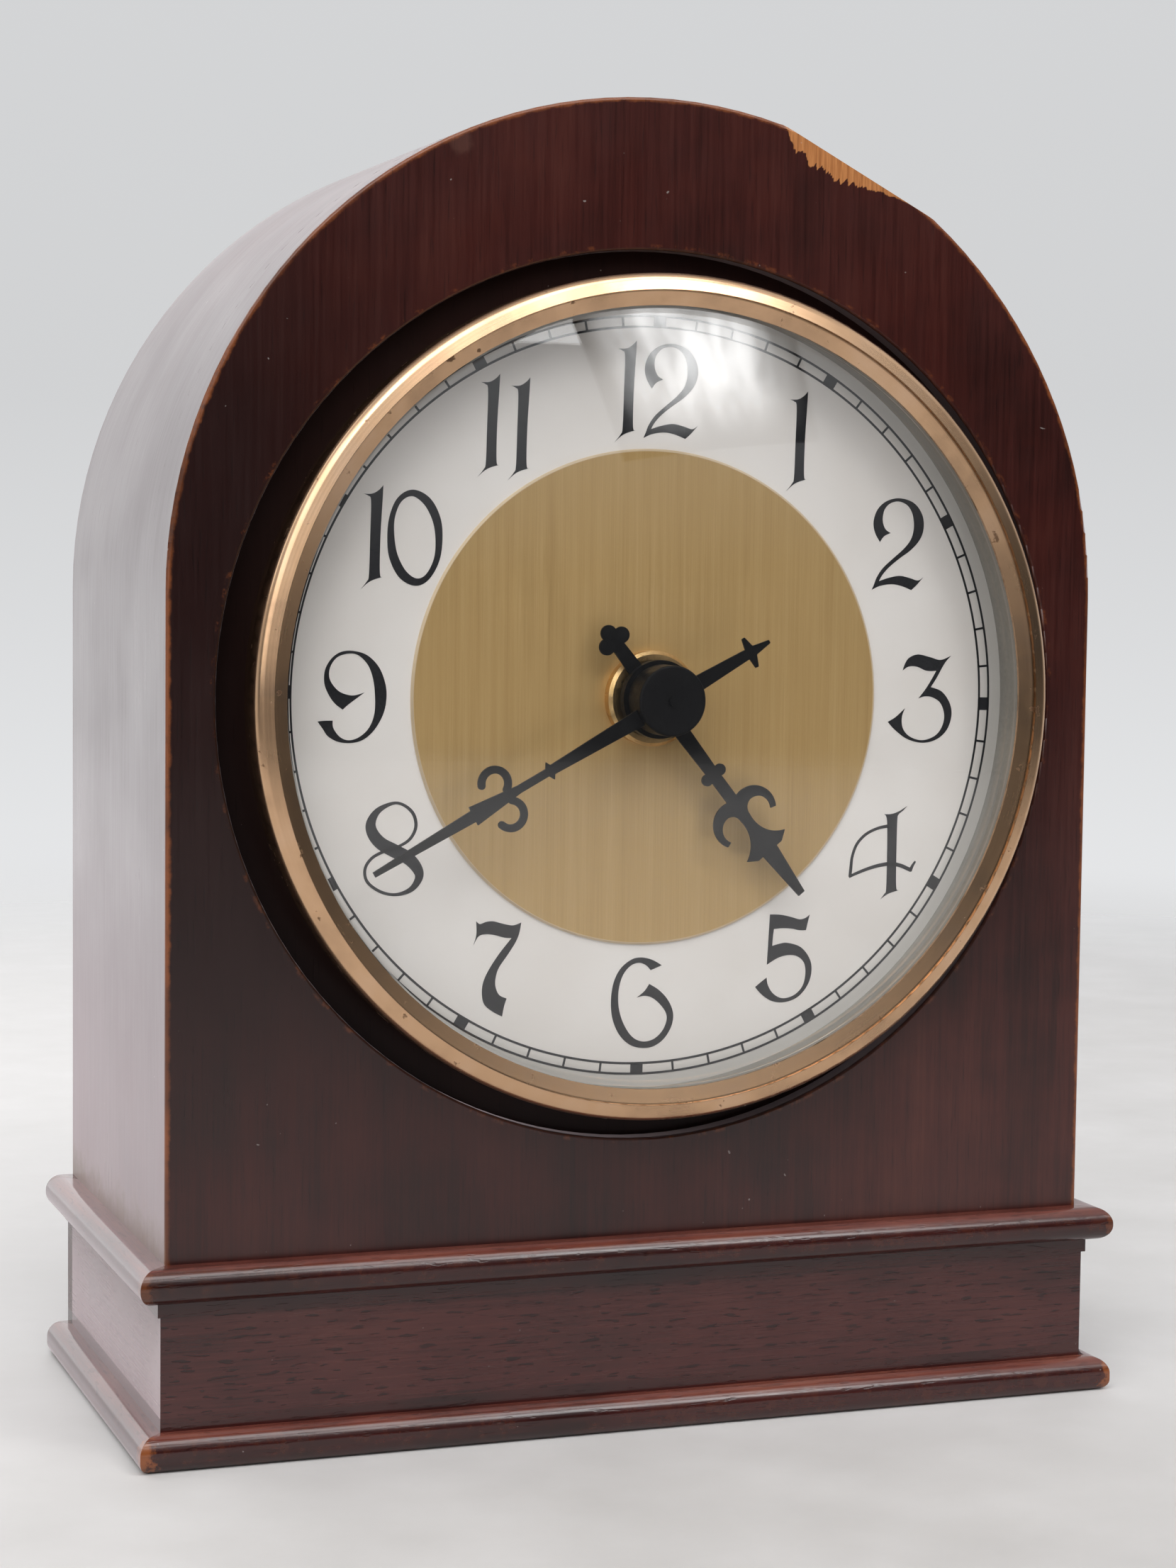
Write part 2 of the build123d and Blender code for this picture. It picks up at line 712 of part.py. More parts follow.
# Bezel: one turned ring with a bevel, a stepped band, a round shoulder, a sleeve through the board and bent tabs
rim_y = case_front - bezel_rim_proud
band_fall = bezel_step_high_proud - bezel_band_proud
with BuildPart() as bezel:
    with BuildSketch(axial_plane):
        with BuildLine():
            Polyline((bezel_opening_radius, seat_y), (bezel_opening_radius, case_front - bezel_opening_proud),
                     (bezel_step_radius, case_front - bezel_step_low_proud),
                     (bezel_step_radius, case_front - bezel_step_high_proud),
                     (bezel_band_radius, case_front - bezel_band_proud))
            TangentArc((bezel_band_radius, case_front - bezel_band_proud),
                       (bezel_radius, case_front - bezel_shoulder_proud), tangent=(bezel_band_width, band_fall))
            Polyline((bezel_radius, case_front - bezel_shoulder_proud), (bezel_radius, rim_y),
                     (bezel_foot_radius, rim_y), (bezel_foot_radius, recess_floor),
                     (sleeve_radius, recess_floor), (sleeve_radius, sleeve_end),
                     (cavity_radius, sleeve_end), (cavity_radius, seat_y), (bezel_opening_radius, seat_y))
        make_face()
    revolve(axis=dial_axis)
    with BuildSketch(dial_plane(ring_back)):
        with PolarLocations(cavity_radius, tab_count, start_angle=tab_start_angle):
            Rectangle(sleeve_sheet + tab_reach, tab_width, align=(Align.MIN, Align.CENTER))
        Circle(cavity_radius, mode=Mode.SUBTRACT)
    extrude(amount=-tab_sheet)
finish(bezel, "bezel")

with BuildPart() as clamp_ring:
    with BuildSketch(dial_plane(panel_back)):
        Circle(clamp_ring_radius)
        Circle(sleeve_radius + press_fit, mode=Mode.SUBTRACT)
    extrude(amount=-clamp_ring_thickness)
finish(clamp_ring, "clamp_ring")

# Domed glass with a flat rim behind the bezel's lip
apex_inner = lens_back - lens_rise
apex_outer = apex_inner - lens_thickness
with BuildPart() as lens:
    with BuildSketch(axial_plane):
        with BuildLine():
            Polyline((0, apex_outer), (0, apex_inner))
            TangentArc((0, apex_inner), (lens_dome_radius, lens_back), tangent=(1, 0))
            Polyline((lens_dome_radius, lens_back), (lens_radius, lens_back), (lens_radius, seat_y),
                     (lens_dome_radius, seat_y))
            TangentArc((0, apex_outer), (lens_dome_radius, seat_y), tangent=(1, 0))
        make_face()
    revolve(axis=dial_axis)
finish(lens, "lens")

# Ring that keeps the glass and the dial apart
with BuildPart() as dial_ring:
    with BuildSketch(dial_plane(dial_front)):
        Circle(lens_radius)
        Circle(lens_radius - dial_wall, mode=Mode.SUBTRACT)
    extrude(amount=dial_front - lens_back)
finish(dial_ring, "dial_ring")

with BuildPart() as dial:
    with BuildSketch(dial_plane(dial_back)):
        Circle(lens_radius)
        Circle(bush_radius + screw_clearance, mode=Mode.SUBTRACT)
    extrude(amount=dial_thickness)
finish(dial, "dial")

with BuildPart() as dial_centre:
    with BuildSketch(dial_plane(dial_front)):
        Circle(dial_centre_radius)
        Circle(bush_radius + screw_clearance, mode=Mode.SUBTRACT)
    extrude(amount=dial_centre_thickness)
    outer_edge = dial_centre.faces().sort_by(Axis.Y)[0].outer_wire().edges()
    chamfer(outer_edge, length=dial_centre_edge)
finish(dial_centre, "dial_centre")

with BuildPart() as dial_retainer:
    with BuildSketch(dial_plane(dial_back)):
        Circle(lens_radius)
        Circle(retainer_radius, mode=Mode.SUBTRACT)
    extrude(amount=-retainer_depth)
finish(dial_retainer, "dial_retainer")

# Wheel centres, each set by the pitch radii of the pair that meets there
motion_distance = (cannon_teeth + minute_teeth) * motion_module / 2
hour_module = motion_distance * 2 / (minute_pinion_teeth + hour_teeth)
third_distance = (centre_teeth + third_pinion_teeth) * centre_module / 2
fourth_distance = (third_teeth + fourth_pinion_teeth) * third_module / 2
rotor_distance = (fourth_teeth + rotor_pinion_teeth) * fourth_module / 2
minute_x, minute_z = polar(motion_distance, minute_wheel_angle)
third_x, third_z = polar(third_distance, third_wheel_angle)
fourth_step = polar(fourth_distance, fourth_wheel_angle)
fourth_x = third_x + fourth_step[0]
fourth_z = third_z + fourth_step[1]
rotor_step = polar(rotor_distance, rotor_angle)
rotor_x = fourth_x + rotor_step[0]
rotor_z = fourth_z + rotor_step[1]

# Layers of the wheels, counted from the inside of the housing's front wall
hour_y = house_inside + hour_wheel_layer
minute_y = house_inside + minute_wheel_layer
centre_y = house_inside + centre_wheel_layer
third_y = house_inside + third_wheel_layer
fourth_y = house_inside + fourth_wheel_layer
stator_y = fourth_y + wheel_thickness + pinion_overlap + coil_gap
core_y = stator_y - core_thickness
magnet_y = stator_y + stator_thickness / 2 - magnet_length / 2

# Movement housing: tray with the posts, pivots and bay wall moulded in
post_spots = [(plate_right - post_radius, -plate_low + post_radius),
              (post_radius - plate_left, -plate_low + post_radius),
              (plate_right - post_radius, plate_high - post_radius)]
core_low = stator_low + stator_arm / 2
core_high = stator_high - stator_arm / 2
pivot_spots = [(third_x, third_z, centre_y), (fourth_x, fourth_z, third_y), (rotor_x, rotor_z, fourth_y)]
cell_up = -bay_height - bay_wall - cell_fit - cell_radius
with BuildPart() as movement_front:
    with BuildSketch(dial_plane(house_front)):
        RectangleRounded(movement_width, movement_height, movement_corner)
    extrude(amount=-house_depth)
    with BuildSketch(dial_plane(house_inside)):
        RectangleRounded(inner_house_width, inner_house_height, movement_corner - movement_wall)
    extrude(amount=-house_depth, mode=Mode.SUBTRACT)
    with BuildSketch(dial_plane(house_inside)):
        with Locations((0, -bay_height)):
            Rectangle(inner_house_width, bay_wall, align=(Align.CENTER, Align.MAX))
    extrude(amount=house_inside - house_back)
    with BuildSketch(dial_plane(house_inside)):
        with Locations(*post_spots):
            Circle(post_radius)
    extrude(amount=house_inside - plate_front)
    with BuildSketch(dial_plane(house_inside)):
        with Locations((-core_place, core_low), (-core_place, core_high)):
            Circle(stub_radius)
    extrude(amount=house_inside - core_y)
    with BuildSketch(dial_plane(house_inside)):
        with Locations((minute_x, minute_z)):
            Circle(stud_radius)
    extrude(amount=house_inside - minute_y - minute_wheel_thickness)
    for across, up, wheel_y in pivot_spots:
        with BuildSketch(dial_plane(house_inside, across, up)):
            Circle(boss_radius)
        extrude(amount=house_inside - wheel_y + coil_gap)
        with BuildSketch(dial_plane(wheel_y, across, up)):
            Circle(pivot_radius + running_fit)
        extrude(amount=coil_gap + pivot_depth, mode=Mode.SUBTRACT)
    with BuildSketch(dial_plane(house_front)):
        Circle(bush_radius + press_fit)
    extrude(amount=-movement_wall, mode=Mode.SUBTRACT)
finish(movement_front, "movement_front")

# Rear cover with the battery's window, the knob's hole and two posts for the circuit
board_back = house_back - board_standoff
board_posts = [(board_left + post_radius + stub_radius, -board_low + post_radius + stub_radius),
               (board_right - post_radius - stub_radius, board_high - post_radius - stub_radius)]
with BuildPart() as movement_back:
    with BuildSketch(dial_plane(house_back)):
        RectangleRounded(movement_width, movement_height, movement_corner)
        Circle(arbor_tail_radius + screw_clearance, mode=Mode.SUBTRACT)
        with Locations((0, cell_up)):
            Rectangle(inner_house_width, (cell_radius + cell_fit) * 2, mode=Mode.SUBTRACT)
    extrude(amount=-movement_cover)
    with BuildSketch(dial_plane(house_back)):
        with Locations(*board_posts):
            Circle(stub_radius)
    extrude(amount=board_standoff)
finish(movement_back, "movement_back")

# Threaded bush, washer and round nut that hold the movement to the dial
with BuildPart() as threaded_bush:
    with BuildSketch(dial_plane(house_inside)):
        Circle(bush_radius)
        Circle(hour_tube_radius + running_fit, mode=Mode.SUBTRACT)
    extrude(amount=house_inside - bush_front)
finish(threaded_bush, "threaded_bush")

with BuildPart() as bush_washer:
    with BuildSketch(dial_plane(house_front)):
        Circle(washer_radius)
        Circle(bush_radius + press_fit, mode=Mode.SUBTRACT)
    extrude(amount=washer_thickness)
finish(bush_washer, "bush_washer")

with BuildPart() as bush_nut:
    with BuildSketch(dial_plane(gold_front)):
        Circle(nut_radius)
        Circle(bush_radius + press_fit, mode=Mode.SUBTRACT)
    extrude(amount=nut_thickness)
    chamfer(bush_nut.faces().sort_by(Axis.Y)[0].outer_wire().edges(), length=nut_edge)
finish(bush_nut, "bush_nut")

# Plate behind the train, with a hole for each arbor
with BuildPart() as train_plate:
    with BuildSketch(dial_plane(plate_front)):
        with Locations((-plate_left, -plate_low)):
            RectangleRounded(plate_left + plate_right, plate_low + plate_high, plate_corner,
                             align=(Align.MIN, Align.MIN))
        Circle(arbor_tail_radius + running_fit, mode=Mode.SUBTRACT)
        with Locations((third_x, third_z), (fourth_x, fourth_z), (rotor_x, rotor_z)):
            Circle(pivot_radius + running_fit, mode=Mode.SUBTRACT)
    extrude(amount=-plate_thickness)
finish(train_plate, "train_plate")

# Centre arbor: hand end, cannon pinion and the tail that carries the setting knob
minute_sheet_back = case_front - minute_hand_proud
minute_sheet_front = minute_sheet_back - hand_sheet
arbor_front = minute_sheet_front - cap_thickness / 2
knob_front = cover_back + set_knob_gap
arbor_back = knob_front + set_knob_thickness
cannon_y = minute_y - pinion_overlap
cannon_end = minute_y + minute_wheel_thickness + pinion_overlap
cannon_outline = gear(cannon_teeth, motion_module, minute_wheel_angle)
with BuildPart() as centre_arbor:
    with BuildSketch(dial_plane(arbor_front)):
        Circle(arbor_radius)
    extrude(amount=arbor_front - cannon_end)
    with BuildSketch(dial_plane(cannon_y)):
        add(cannon_outline)
    extrude(amount=cannon_y - cannon_end)
    with BuildSketch(dial_plane(cannon_end)):
        Circle(arbor_tail_radius)
    extrude(amount=cannon_end - arbor_back)
finish(centre_arbor, "centre_arbor")

with BuildPart() as setting_knob:
    with BuildSketch(dial_plane(knob_front)):
        Circle(set_knob_radius)
        with PolarLocations(set_knob_radius, set_knob_flutes):
            Circle(set_knob_flute_radius, mode=Mode.SUBTRACT)
        Circle(arbor_tail_radius + press_fit, mode=Mode.SUBTRACT)
    extrude(amount=-set_knob_thickness)
finish(setting_knob, "setting_knob")

# Motion work: minute wheel on its stud, hour wheel on its tube
minute_gap = minute_wheel_angle + 180 + 180 / minute_teeth
minute_outline = gear(minute_teeth, motion_module, minute_gap)
minute_pinion_outline = gear(minute_pinion_teeth, hour_module, minute_wheel_angle + 180)
with BuildPart() as minute_wheel:
    with BuildSketch(dial_plane(minute_y, minute_x, minute_z)):
        add(minute_outline)
    extrude(amount=-minute_wheel_thickness)
    with BuildSketch(dial_plane(hour_y, minute_x, minute_z)):
        add(minute_pinion_outline)
    extrude(amount=hour_y - minute_y)
    with BuildSketch(dial_plane(hour_y, minute_x, minute_z)):
        Circle(stud_radius + running_fit)
    extrude(amount=hour_y - minute_y - minute_wheel_thickness, mode=Mode.SUBTRACT)
finish(minute_wheel, "minute_wheel")

hour_sheet_back = case_front - hour_hand_proud
hour_boss_front = hour_sheet_back - hour_boss_thickness
hour_outline = gear(hour_teeth, hour_module, minute_wheel_angle + 180 / hour_teeth)
with BuildPart() as hour_wheel:
    with BuildSketch(dial_plane(hour_y)):
        add(hour_outline)
    extrude(amount=-hour_wheel_thickness)
    with BuildSketch(dial_plane(hour_boss_front)):
        Circle(hour_tube_radius)
    extrude(amount=hour_boss_front - hour_y)
    with BuildSketch(dial_plane(hour_boss_front)):
        Circle(arbor_radius + hour_tube_bore_fit)
    extrude(amount=hour_boss_front - hour_y - hour_wheel_thickness, mode=Mode.SUBTRACT)
finish(hour_wheel, "hour_wheel")

# Going train: centre wheel, slipping on the arbor's tail, third and fourth wheels, rotor
centre_outline = gear(centre_teeth, centre_module, third_wheel_angle)
with BuildPart() as centre_wheel:
    with BuildSketch(dial_plane(centre_y)):
        add(centre_outline)
        Circle(arbor_tail_radius + running_fit, mode=Mode.SUBTRACT)
    extrude(amount=-wheel_thickness)
finish(centre_wheel, "centre_wheel")

third_outline = gear(third_teeth, third_module, fourth_wheel_angle)
third_gap = third_wheel_angle + 180 + 180 / third_pinion_teeth
third_pinion_outline = gear(third_pinion_teeth, centre_module, third_gap)
with BuildPart() as third_wheel:
    with BuildSketch(dial_plane(third_y, third_x, third_z)):
        add(third_outline)
    extrude(amount=-wheel_thickness)
    with BuildSketch(dial_plane(centre_y - pinion_overlap, third_x, third_z)):
        add(third_pinion_outline)
    extrude(amount=centre_y - pinion_overlap - third_y)
    with BuildSketch(dial_plane(centre_y - coil_gap - pivot_depth + running_fit, third_x, third_z)):
        Circle(pivot_radius)
    extrude(amount=centre_y - coil_gap - pivot_depth + running_fit - plate_back)
finish(third_wheel, "third_wheel")

fourth_outline = gear(fourth_teeth, fourth_module, rotor_angle)
fourth_gap = fourth_wheel_angle + 180 + 180 / fourth_pinion_teeth
fourth_pinion_outline = gear(fourth_pinion_teeth, third_module, fourth_gap)
with BuildPart() as fourth_wheel:
    with BuildSketch(dial_plane(fourth_y, fourth_x, fourth_z)):
        add(fourth_outline)
    extrude(amount=-wheel_thickness)
    with BuildSketch(dial_plane(third_y - pinion_overlap, fourth_x, fourth_z)):
        add(fourth_pinion_outline)
    extrude(amount=third_y - pinion_overlap - fourth_y)
    with BuildSketch(dial_plane(third_y - coil_gap - pivot_depth + running_fit, fourth_x, fourth_z)):
        Circle(pivot_radius)
    extrude(amount=third_y - coil_gap - pivot_depth + running_fit - plate_back)
finish(fourth_wheel, "fourth_wheel")

rotor_gap = rotor_angle + 180 + 180 / rotor_pinion_teeth
rotor_pinion_outline = gear(rotor_pinion_teeth, fourth_module, rotor_gap)
with BuildPart() as rotor:
    with BuildSketch(dial_plane(magnet_y, rotor_x, rotor_z)):
        Circle(magnet_radius)
    extrude(amount=-magnet_length)
    with BuildSketch(dial_plane(fourth_y - pinion_overlap, rotor_x, rotor_z)):
        add(rotor_pinion_outline)
    extrude(amount=fourth_y - pinion_overlap - magnet_y)
    with BuildSketch(dial_plane(fourth_y - coil_gap - pivot_depth + running_fit, rotor_x, rotor_z)):
        Circle(pivot_radius)
    extrude(amount=fourth_y - coil_gap - pivot_depth + running_fit - plate_back)
finish(rotor, "rotor")

# Motor: stator round the rotor, core through the coil, coil on its bobbin
with BuildPart() as stator:
    with BuildSketch(dial_plane(stator_y)):
        with Locations((-stator_left, stator_low)):
            Rectangle(stator_left - stator_right, stator_high - stator_low, align=(Align.MIN, Align.MIN))
        with Locations((-stator_left, stator_low + stator_arm)):
            Rectangle(stator_left - stator_window, stator_high - stator_low - stator_arm * 2,
                      align=(Align.MIN, Align.MIN), mode=Mode.SUBTRACT)
        with Locations((rotor_x, rotor_z)):
            Circle(stator_hole_radius, mode=Mode.SUBTRACT)
    extrude(amount=-stator_thickness)
finish(stator, "stator")

with BuildPart() as coil_core:
    with BuildSketch(dial_plane(core_y)):
        with Locations((-core_place, stator_low)):
            Rectangle(core_width, stator_high - stator_low, align=(Align.CENTER, Align.MIN))
    extrude(amount=-core_thickness)
finish(coil_core, "coil_core")

bobbin_low = dial_z + stator_low + stator_arm + coil_gap
bobbin_length = stator_high - stator_low - (stator_arm + coil_gap) * 2
bobbin_spot = Plane((-core_place, core_y + core_thickness / 2, bobbin_low))
bobbin_half_x = core_width / 2 + press_fit + bobbin_wall
bobbin_half_y = core_thickness / 2 + press_fit + bobbin_wall
with BuildPart() as coil_bobbin:
    with BuildSketch(bobbin_spot):
        Rectangle(bobbin_half_x * 2, bobbin_half_y * 2)
    extrude(amount=bobbin_length)
    with BuildSketch(bobbin_spot, bobbin_spot.offset(bobbin_length - bobbin_flange)):
        Circle(coil_radius)
    extrude(amount=bobbin_flange)
    with BuildSketch(bobbin_spot):
        Rectangle(core_width + press_fit * 2, core_thickness + press_fit * 2)
    extrude(amount=bobbin_length, mode=Mode.SUBTRACT)
finish(coil_bobbin, "coil_bobbin")

with BuildPart() as coil_winding:
    with BuildSketch(bobbin_spot.offset(bobbin_flange + press_fit)):
        Circle(coil_radius - press_fit)
        Rectangle((bobbin_half_x + press_fit) * 2, (bobbin_half_y + press_fit) * 2, mode=Mode.SUBTRACT)
    extrude(amount=bobbin_length - (bobbin_flange + press_fit) * 2)
finish(coil_winding, "coil_winding")

# Circuit board on the cover's posts, with its sealed chip and crystal can
board_front = board_back - board_thickness
with BuildPart() as circuit_board:
    with BuildSketch(dial_plane(board_front)):
        with Locations((board_left, -board_low)):
            Rectangle(board_right - board_left, board_high + board_low, align=(Align.MIN, Align.MIN))
    extrude(amount=-board_thickness)
finish(circuit_board, "circuit_board")

board_mid = (board_left + board_right) / 2
with BuildPart() as driver_chip:
    with BuildSketch(dial_plane(board_front, board_mid)):
        Circle(chip_blob_radius)
    extrude(amount=chip_blob)
    fillet(driver_chip.faces().sort_by(Axis.Y)[0].edges(), radius=chip_blob / 2)
finish(driver_chip, "driver_chip")

with BuildPart() as crystal_can:
    with BuildSketch(Plane((board_mid, board_front - crystal_radius, dial_z + crystal_length))):
        Circle(crystal_radius)
    extrude(amount=crystal_length)
finish(crystal_can, "crystal_can")

# Battery in its bay, with a plain contact at its tip and a spring contact at its foot
cell_y = cover_back - cell_radius
cell_end = inner_house - contact_thickness - cell_fit
cell_start = cell_end - cell_tip - cell_length
with BuildPart() as battery:
    with BuildSketch(Plane(origin=(cell_start, cell_y, dial_z + cell_up), x_dir=(0, 1, 0), z_dir=(1, 0, 0))):
        Circle(cell_radius)
    extrude(amount=cell_length)
    fillet(battery.edges().filter_by(GeomType.CIRCLE), radius=cell_edge)
    tip_base = battery.faces().sort_by(Axis.X)[-1]
    with BuildSketch(tip_base):
        Circle(cell_tip_radius)
    extrude(amount=cell_tip)
finish(battery, "battery")

contact_low = dial_z + cell_up - contact_width / 2
with BuildPart() as plus_contact:
    with Locations((inner_house, cell_y, contact_low)):
        Box(contact_thickness, contact_width, contact_width, align=(Align.MAX, Align.CENTER, Align.MIN))
finish(plus_contact, "plus_contact")

spring_reach = inner_house + cell_start - cell_fit
spring_plane = Plane(origin=(-inner_house, cell_y, dial_z + cell_up), x_dir=(0, 1, 0), z_dir=(1, 0, 0))
with BuildPart() as minus_contact:
    with Locations((-inner_house, cell_y, contact_low)):
        Box(contact_thickness, contact_width, contact_width, align=(Align.MIN, Align.CENTER, Align.MIN))
    with BuildSketch(spring_plane):
        Circle(contact_rise)
        Circle(contact_rise - contact_thickness * 2, mode=Mode.SUBTRACT)
    extrude(amount=spring_reach)
finish(minus_contact, "minus_contact")

# Minute hand: tapered stem, collar, pair of scrolls, flare, blade and a pointed tail
minute_collar = minute_hand_length * minute_collar_share
minute_junction = minute_hand_length * minute_junction_share
minute_flare = minute_hand_length * minute_flare_share
minute_scroll_x = minute_junction + minute_scroll_ahead
minute_scrolls = [scroll(minute_scroll_x, minute_scroll_aside, minute_scroll_radius,
                         minute_scroll_width, side) for side in (-1, 1)]
minute_spikes = ((minute_finial_side, 180 - finial_spread_angle), (minute_finial_point, 180),
                 (minute_finial_side, 180 + finial_spread_angle))
collet_back = hour_boss_front - boss_gap
with BuildPart() as minute_hand:
    with BuildSketch(hand_plane(minute_sheet_back, minute_hand_angle)):
        Circle(minute_boss_radius)
        Polygon((0, minute_root_width / 2), (0, -minute_root_width / 2),
                (minute_collar, -minute_neck_width / 2), (minute_collar, minute_neck_width / 2), align=None)
        Polygon((minute_collar - minute_collar_length, 0), (minute_collar, -minute_collar_width / 2),
                (minute_collar + minute_collar_length, 0), (minute_collar, minute_collar_width / 2),
                align=None)
        Polygon((minute_collar, minute_stem_width / 2), (minute_collar, -minute_stem_width / 2),
                (minute_junction, -minute_stem_width / 2), (minute_flare, -minute_flare_width / 2),
                (minute_flare, minute_flare_width / 2), (minute_junction, minute_stem_width / 2), align=None)
        Polygon((minute_flare, minute_blade_width / 2), (minute_flare, -minute_blade_width / 2),
                (minute_hand_length, -minute_tip_width / 2), (minute_hand_length, minute_tip_width / 2),
                align=None)
        add(minute_scrolls)
        Polygon((0, minute_root_width / 2), (0, -minute_root_width / 2),
                (-minute_tail_length, -minute_neck_width / 2), (-minute_tail_length, minute_neck_width / 2),
                align=None)
        for reach, angle in minute_spikes:
            with Locations(Location((-minute_tail_length, 0, 0), (0, 0, angle))):
                Polygon((0, -minute_finial_width / 2), (reach, -minute_finial_tip_width / 2),
                        (reach, minute_finial_tip_width / 2), (0, minute_finial_width / 2), align=None)
    extrude(amount=hand_sheet)
    with BuildSketch(dial_plane(minute_sheet_back)):
        Circle(minute_boss_radius)
    extrude(amount=minute_sheet_back - collet_back)
    with BuildSketch(dial_plane(minute_sheet_front)):
        Circle(arbor_radius + press_fit)
    extrude(amount=minute_sheet_front - collet_back, mode=Mode.SUBTRACT)
finish(minute_hand, "minute_hand")

# Hour hand: tapered stem, two bumps, pair of scrolls, barbed leaf, blade and a trefoil
hour_bump = hour_hand_length * hour_bump_share
hour_junction = hour_hand_length * hour_junction_share
hour_leaf = hour_hand_length * hour_leaf_share
hour_blade = hour_hand_length * hour_blade_share
hour_tail_end = -hour_tail_length - hour_finial_aside


def on_hour_scroll(shares):
    """Points of the hour hand's scroll from their shares of its length and reach."""
    return [(hour_junction + ahead * hour_scroll_length, aside * hour_scroll_reach)
            for ahead, aside in shares]


scroll_outer = on_hour_scroll(scroll_outer_shares)
scroll_inner = on_hour_scroll(scroll_inner_shares)
scroll_crotch = on_hour_scroll(scroll_crotch_shares)
leaf_root = scroll_crotch[-1]
leaf_waist = (leaf_root[0] + (hour_leaf - leaf_root[0]) * leaf_waist_shares[0],
              hour_leaf_width / 2 * leaf_waist_shares[1])
with BuildPart() as hour_hand:
    with BuildSketch(hand_plane(hour_sheet_back, hour_hand_angle)):
        with BuildLine():
            Polyline((hour_hand_length, 0), (0, 0), (0, hour_root_width / 2),
                     (hour_bump, hour_neck_width / 2), (hour_junction, hour_stem_width / 2), scroll_outer[0])
            ThreePointArc(*scroll_outer)
            Line(scroll_outer[-1], scroll_inner[0])
            ThreePointArc(*scroll_inner)
            ThreePointArc(scroll_inner[-1], *scroll_crotch)
            ThreePointArc(leaf_root, leaf_waist, (hour_leaf, hour_leaf_width / 2))
            Polyline((hour_leaf, hour_leaf_width / 2), (hour_blade, hour_barb_width / 2),
                     (hour_blade, hour_blade_width / 2), (hour_hand_length, hour_tip_width / 2),
                     (hour_hand_length, 0))
        make_face()
        mirror(about=Plane.XZ)
        Circle(hour_boss_radius)
        with Locations((hour_bump, hour_bump_aside), (hour_bump, -hour_bump_aside)):
            Circle(hour_bump_radius)
        Polygon((0, hour_root_width / 2), (0, -hour_root_width / 2), (hour_tail_end, -hour_neck_width / 2),
                (hour_tail_end, hour_neck_width / 2), align=None)
        with Locations((-hour_tail_length, hour_finial_aside), (-hour_tail_length, -hour_finial_aside),
                       (hour_tail_end, 0)):
            Circle(hour_finial_radius)
    extrude(amount=hand_sheet)
    with BuildSketch(dial_plane(hour_sheet_back)):
        Circle(hour_boss_radius)
    extrude(amount=hour_boss_thickness)
    with BuildSketch(dial_plane(hour_boss_front)):
        Circle(hour_tube_radius + press_fit)
    extrude(amount=-hour_boss_thickness, mode=Mode.SUBTRACT)
finish(hour_hand, "hour_hand")

# Round cap on the arbor's end, over the minute hand
cap_front = minute_sheet_front - cap_thickness
with BuildPart() as hand_cap:
    with BuildSketch(dial_plane(minute_sheet_front)):
        Circle(cap_radius)
    extrude(amount=cap_thickness)
    fillet(hand_cap.faces().sort_by(Axis.Y)[0].edges(), radius=cap_edge)
    with BuildSketch(dial_plane(cap_front)):
        Circle(cap_tip_radius)
    extrude(amount=cap_tip)
    with BuildSketch(dial_plane(minute_sheet_front)):
        Circle(arbor_radius + press_fit)
    extrude(amount=cap_thickness / 2, mode=Mode.SUBTRACT)
finish(hand_cap, "hand_cap")
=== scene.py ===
"""Looks of the arched shelf clock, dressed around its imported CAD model.

Lengths are millimetres in the model's own frame where no comment says metres. The scene itself is in metres.
"""
import math
from functools import reduce

import bmesh
import bpy
from mathutils import Matrix, Vector


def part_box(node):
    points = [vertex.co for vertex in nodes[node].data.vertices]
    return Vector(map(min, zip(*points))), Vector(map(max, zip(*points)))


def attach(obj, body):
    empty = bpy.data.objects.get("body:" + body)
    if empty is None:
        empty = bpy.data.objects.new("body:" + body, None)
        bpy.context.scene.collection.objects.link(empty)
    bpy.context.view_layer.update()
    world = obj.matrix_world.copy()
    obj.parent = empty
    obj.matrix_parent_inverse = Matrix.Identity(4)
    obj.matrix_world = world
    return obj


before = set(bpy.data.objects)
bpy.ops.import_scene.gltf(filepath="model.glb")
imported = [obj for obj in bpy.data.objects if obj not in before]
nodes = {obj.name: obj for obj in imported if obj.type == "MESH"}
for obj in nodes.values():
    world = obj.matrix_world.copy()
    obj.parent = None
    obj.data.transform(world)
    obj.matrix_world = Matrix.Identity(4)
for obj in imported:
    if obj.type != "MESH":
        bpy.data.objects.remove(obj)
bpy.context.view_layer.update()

MM = 0.001

# Case and base: half widths, fronts and backs, and heights above the table
case_half = 74.5
case_front = -33.25
case_foot = 29.6
springing = 127.0
base_half = 79.0
base_front = -37.75
base_back = 37.75

# Dial: the height of its middle, its front face, and the radius of the recess round its bezel
dial_height = 111.7
dial_front = -31.55
recess_radius = 67.2

# Bezel's front, by radius and by its stand before the case: bevel, small step, sloped band, round shoulder
bezel_opening = 58.5
bezel_opening_proud = 7.3
bezel_step = 60.7
bezel_step_proud = 8.0
bezel_rim_proud = 3.2
band_fall = 0.5
band_width = 1.4
band_slope = math.atan2(band_fall, band_width)
shoulder_centre = 61.493
shoulder_radius = 1.807

# Glass: how far back its dome's centre lies, and the radius where the dome ends
glass_centre = 127.85
glass_dome = 58.0

# Chip in the arch: its angles from straight up, and how far its flat lies from the arch's centre
chip_start = math.radians(15.8)
chip_end = math.radians(38.4)
chip_turn = (chip_start + chip_end) / 2
chip_chord = case_half * math.cos((chip_end - chip_start) / 2)

# Noise lies about its middle and mostly within its span
noise_middle = 0.5
noise_span = (0.3, 0.7)

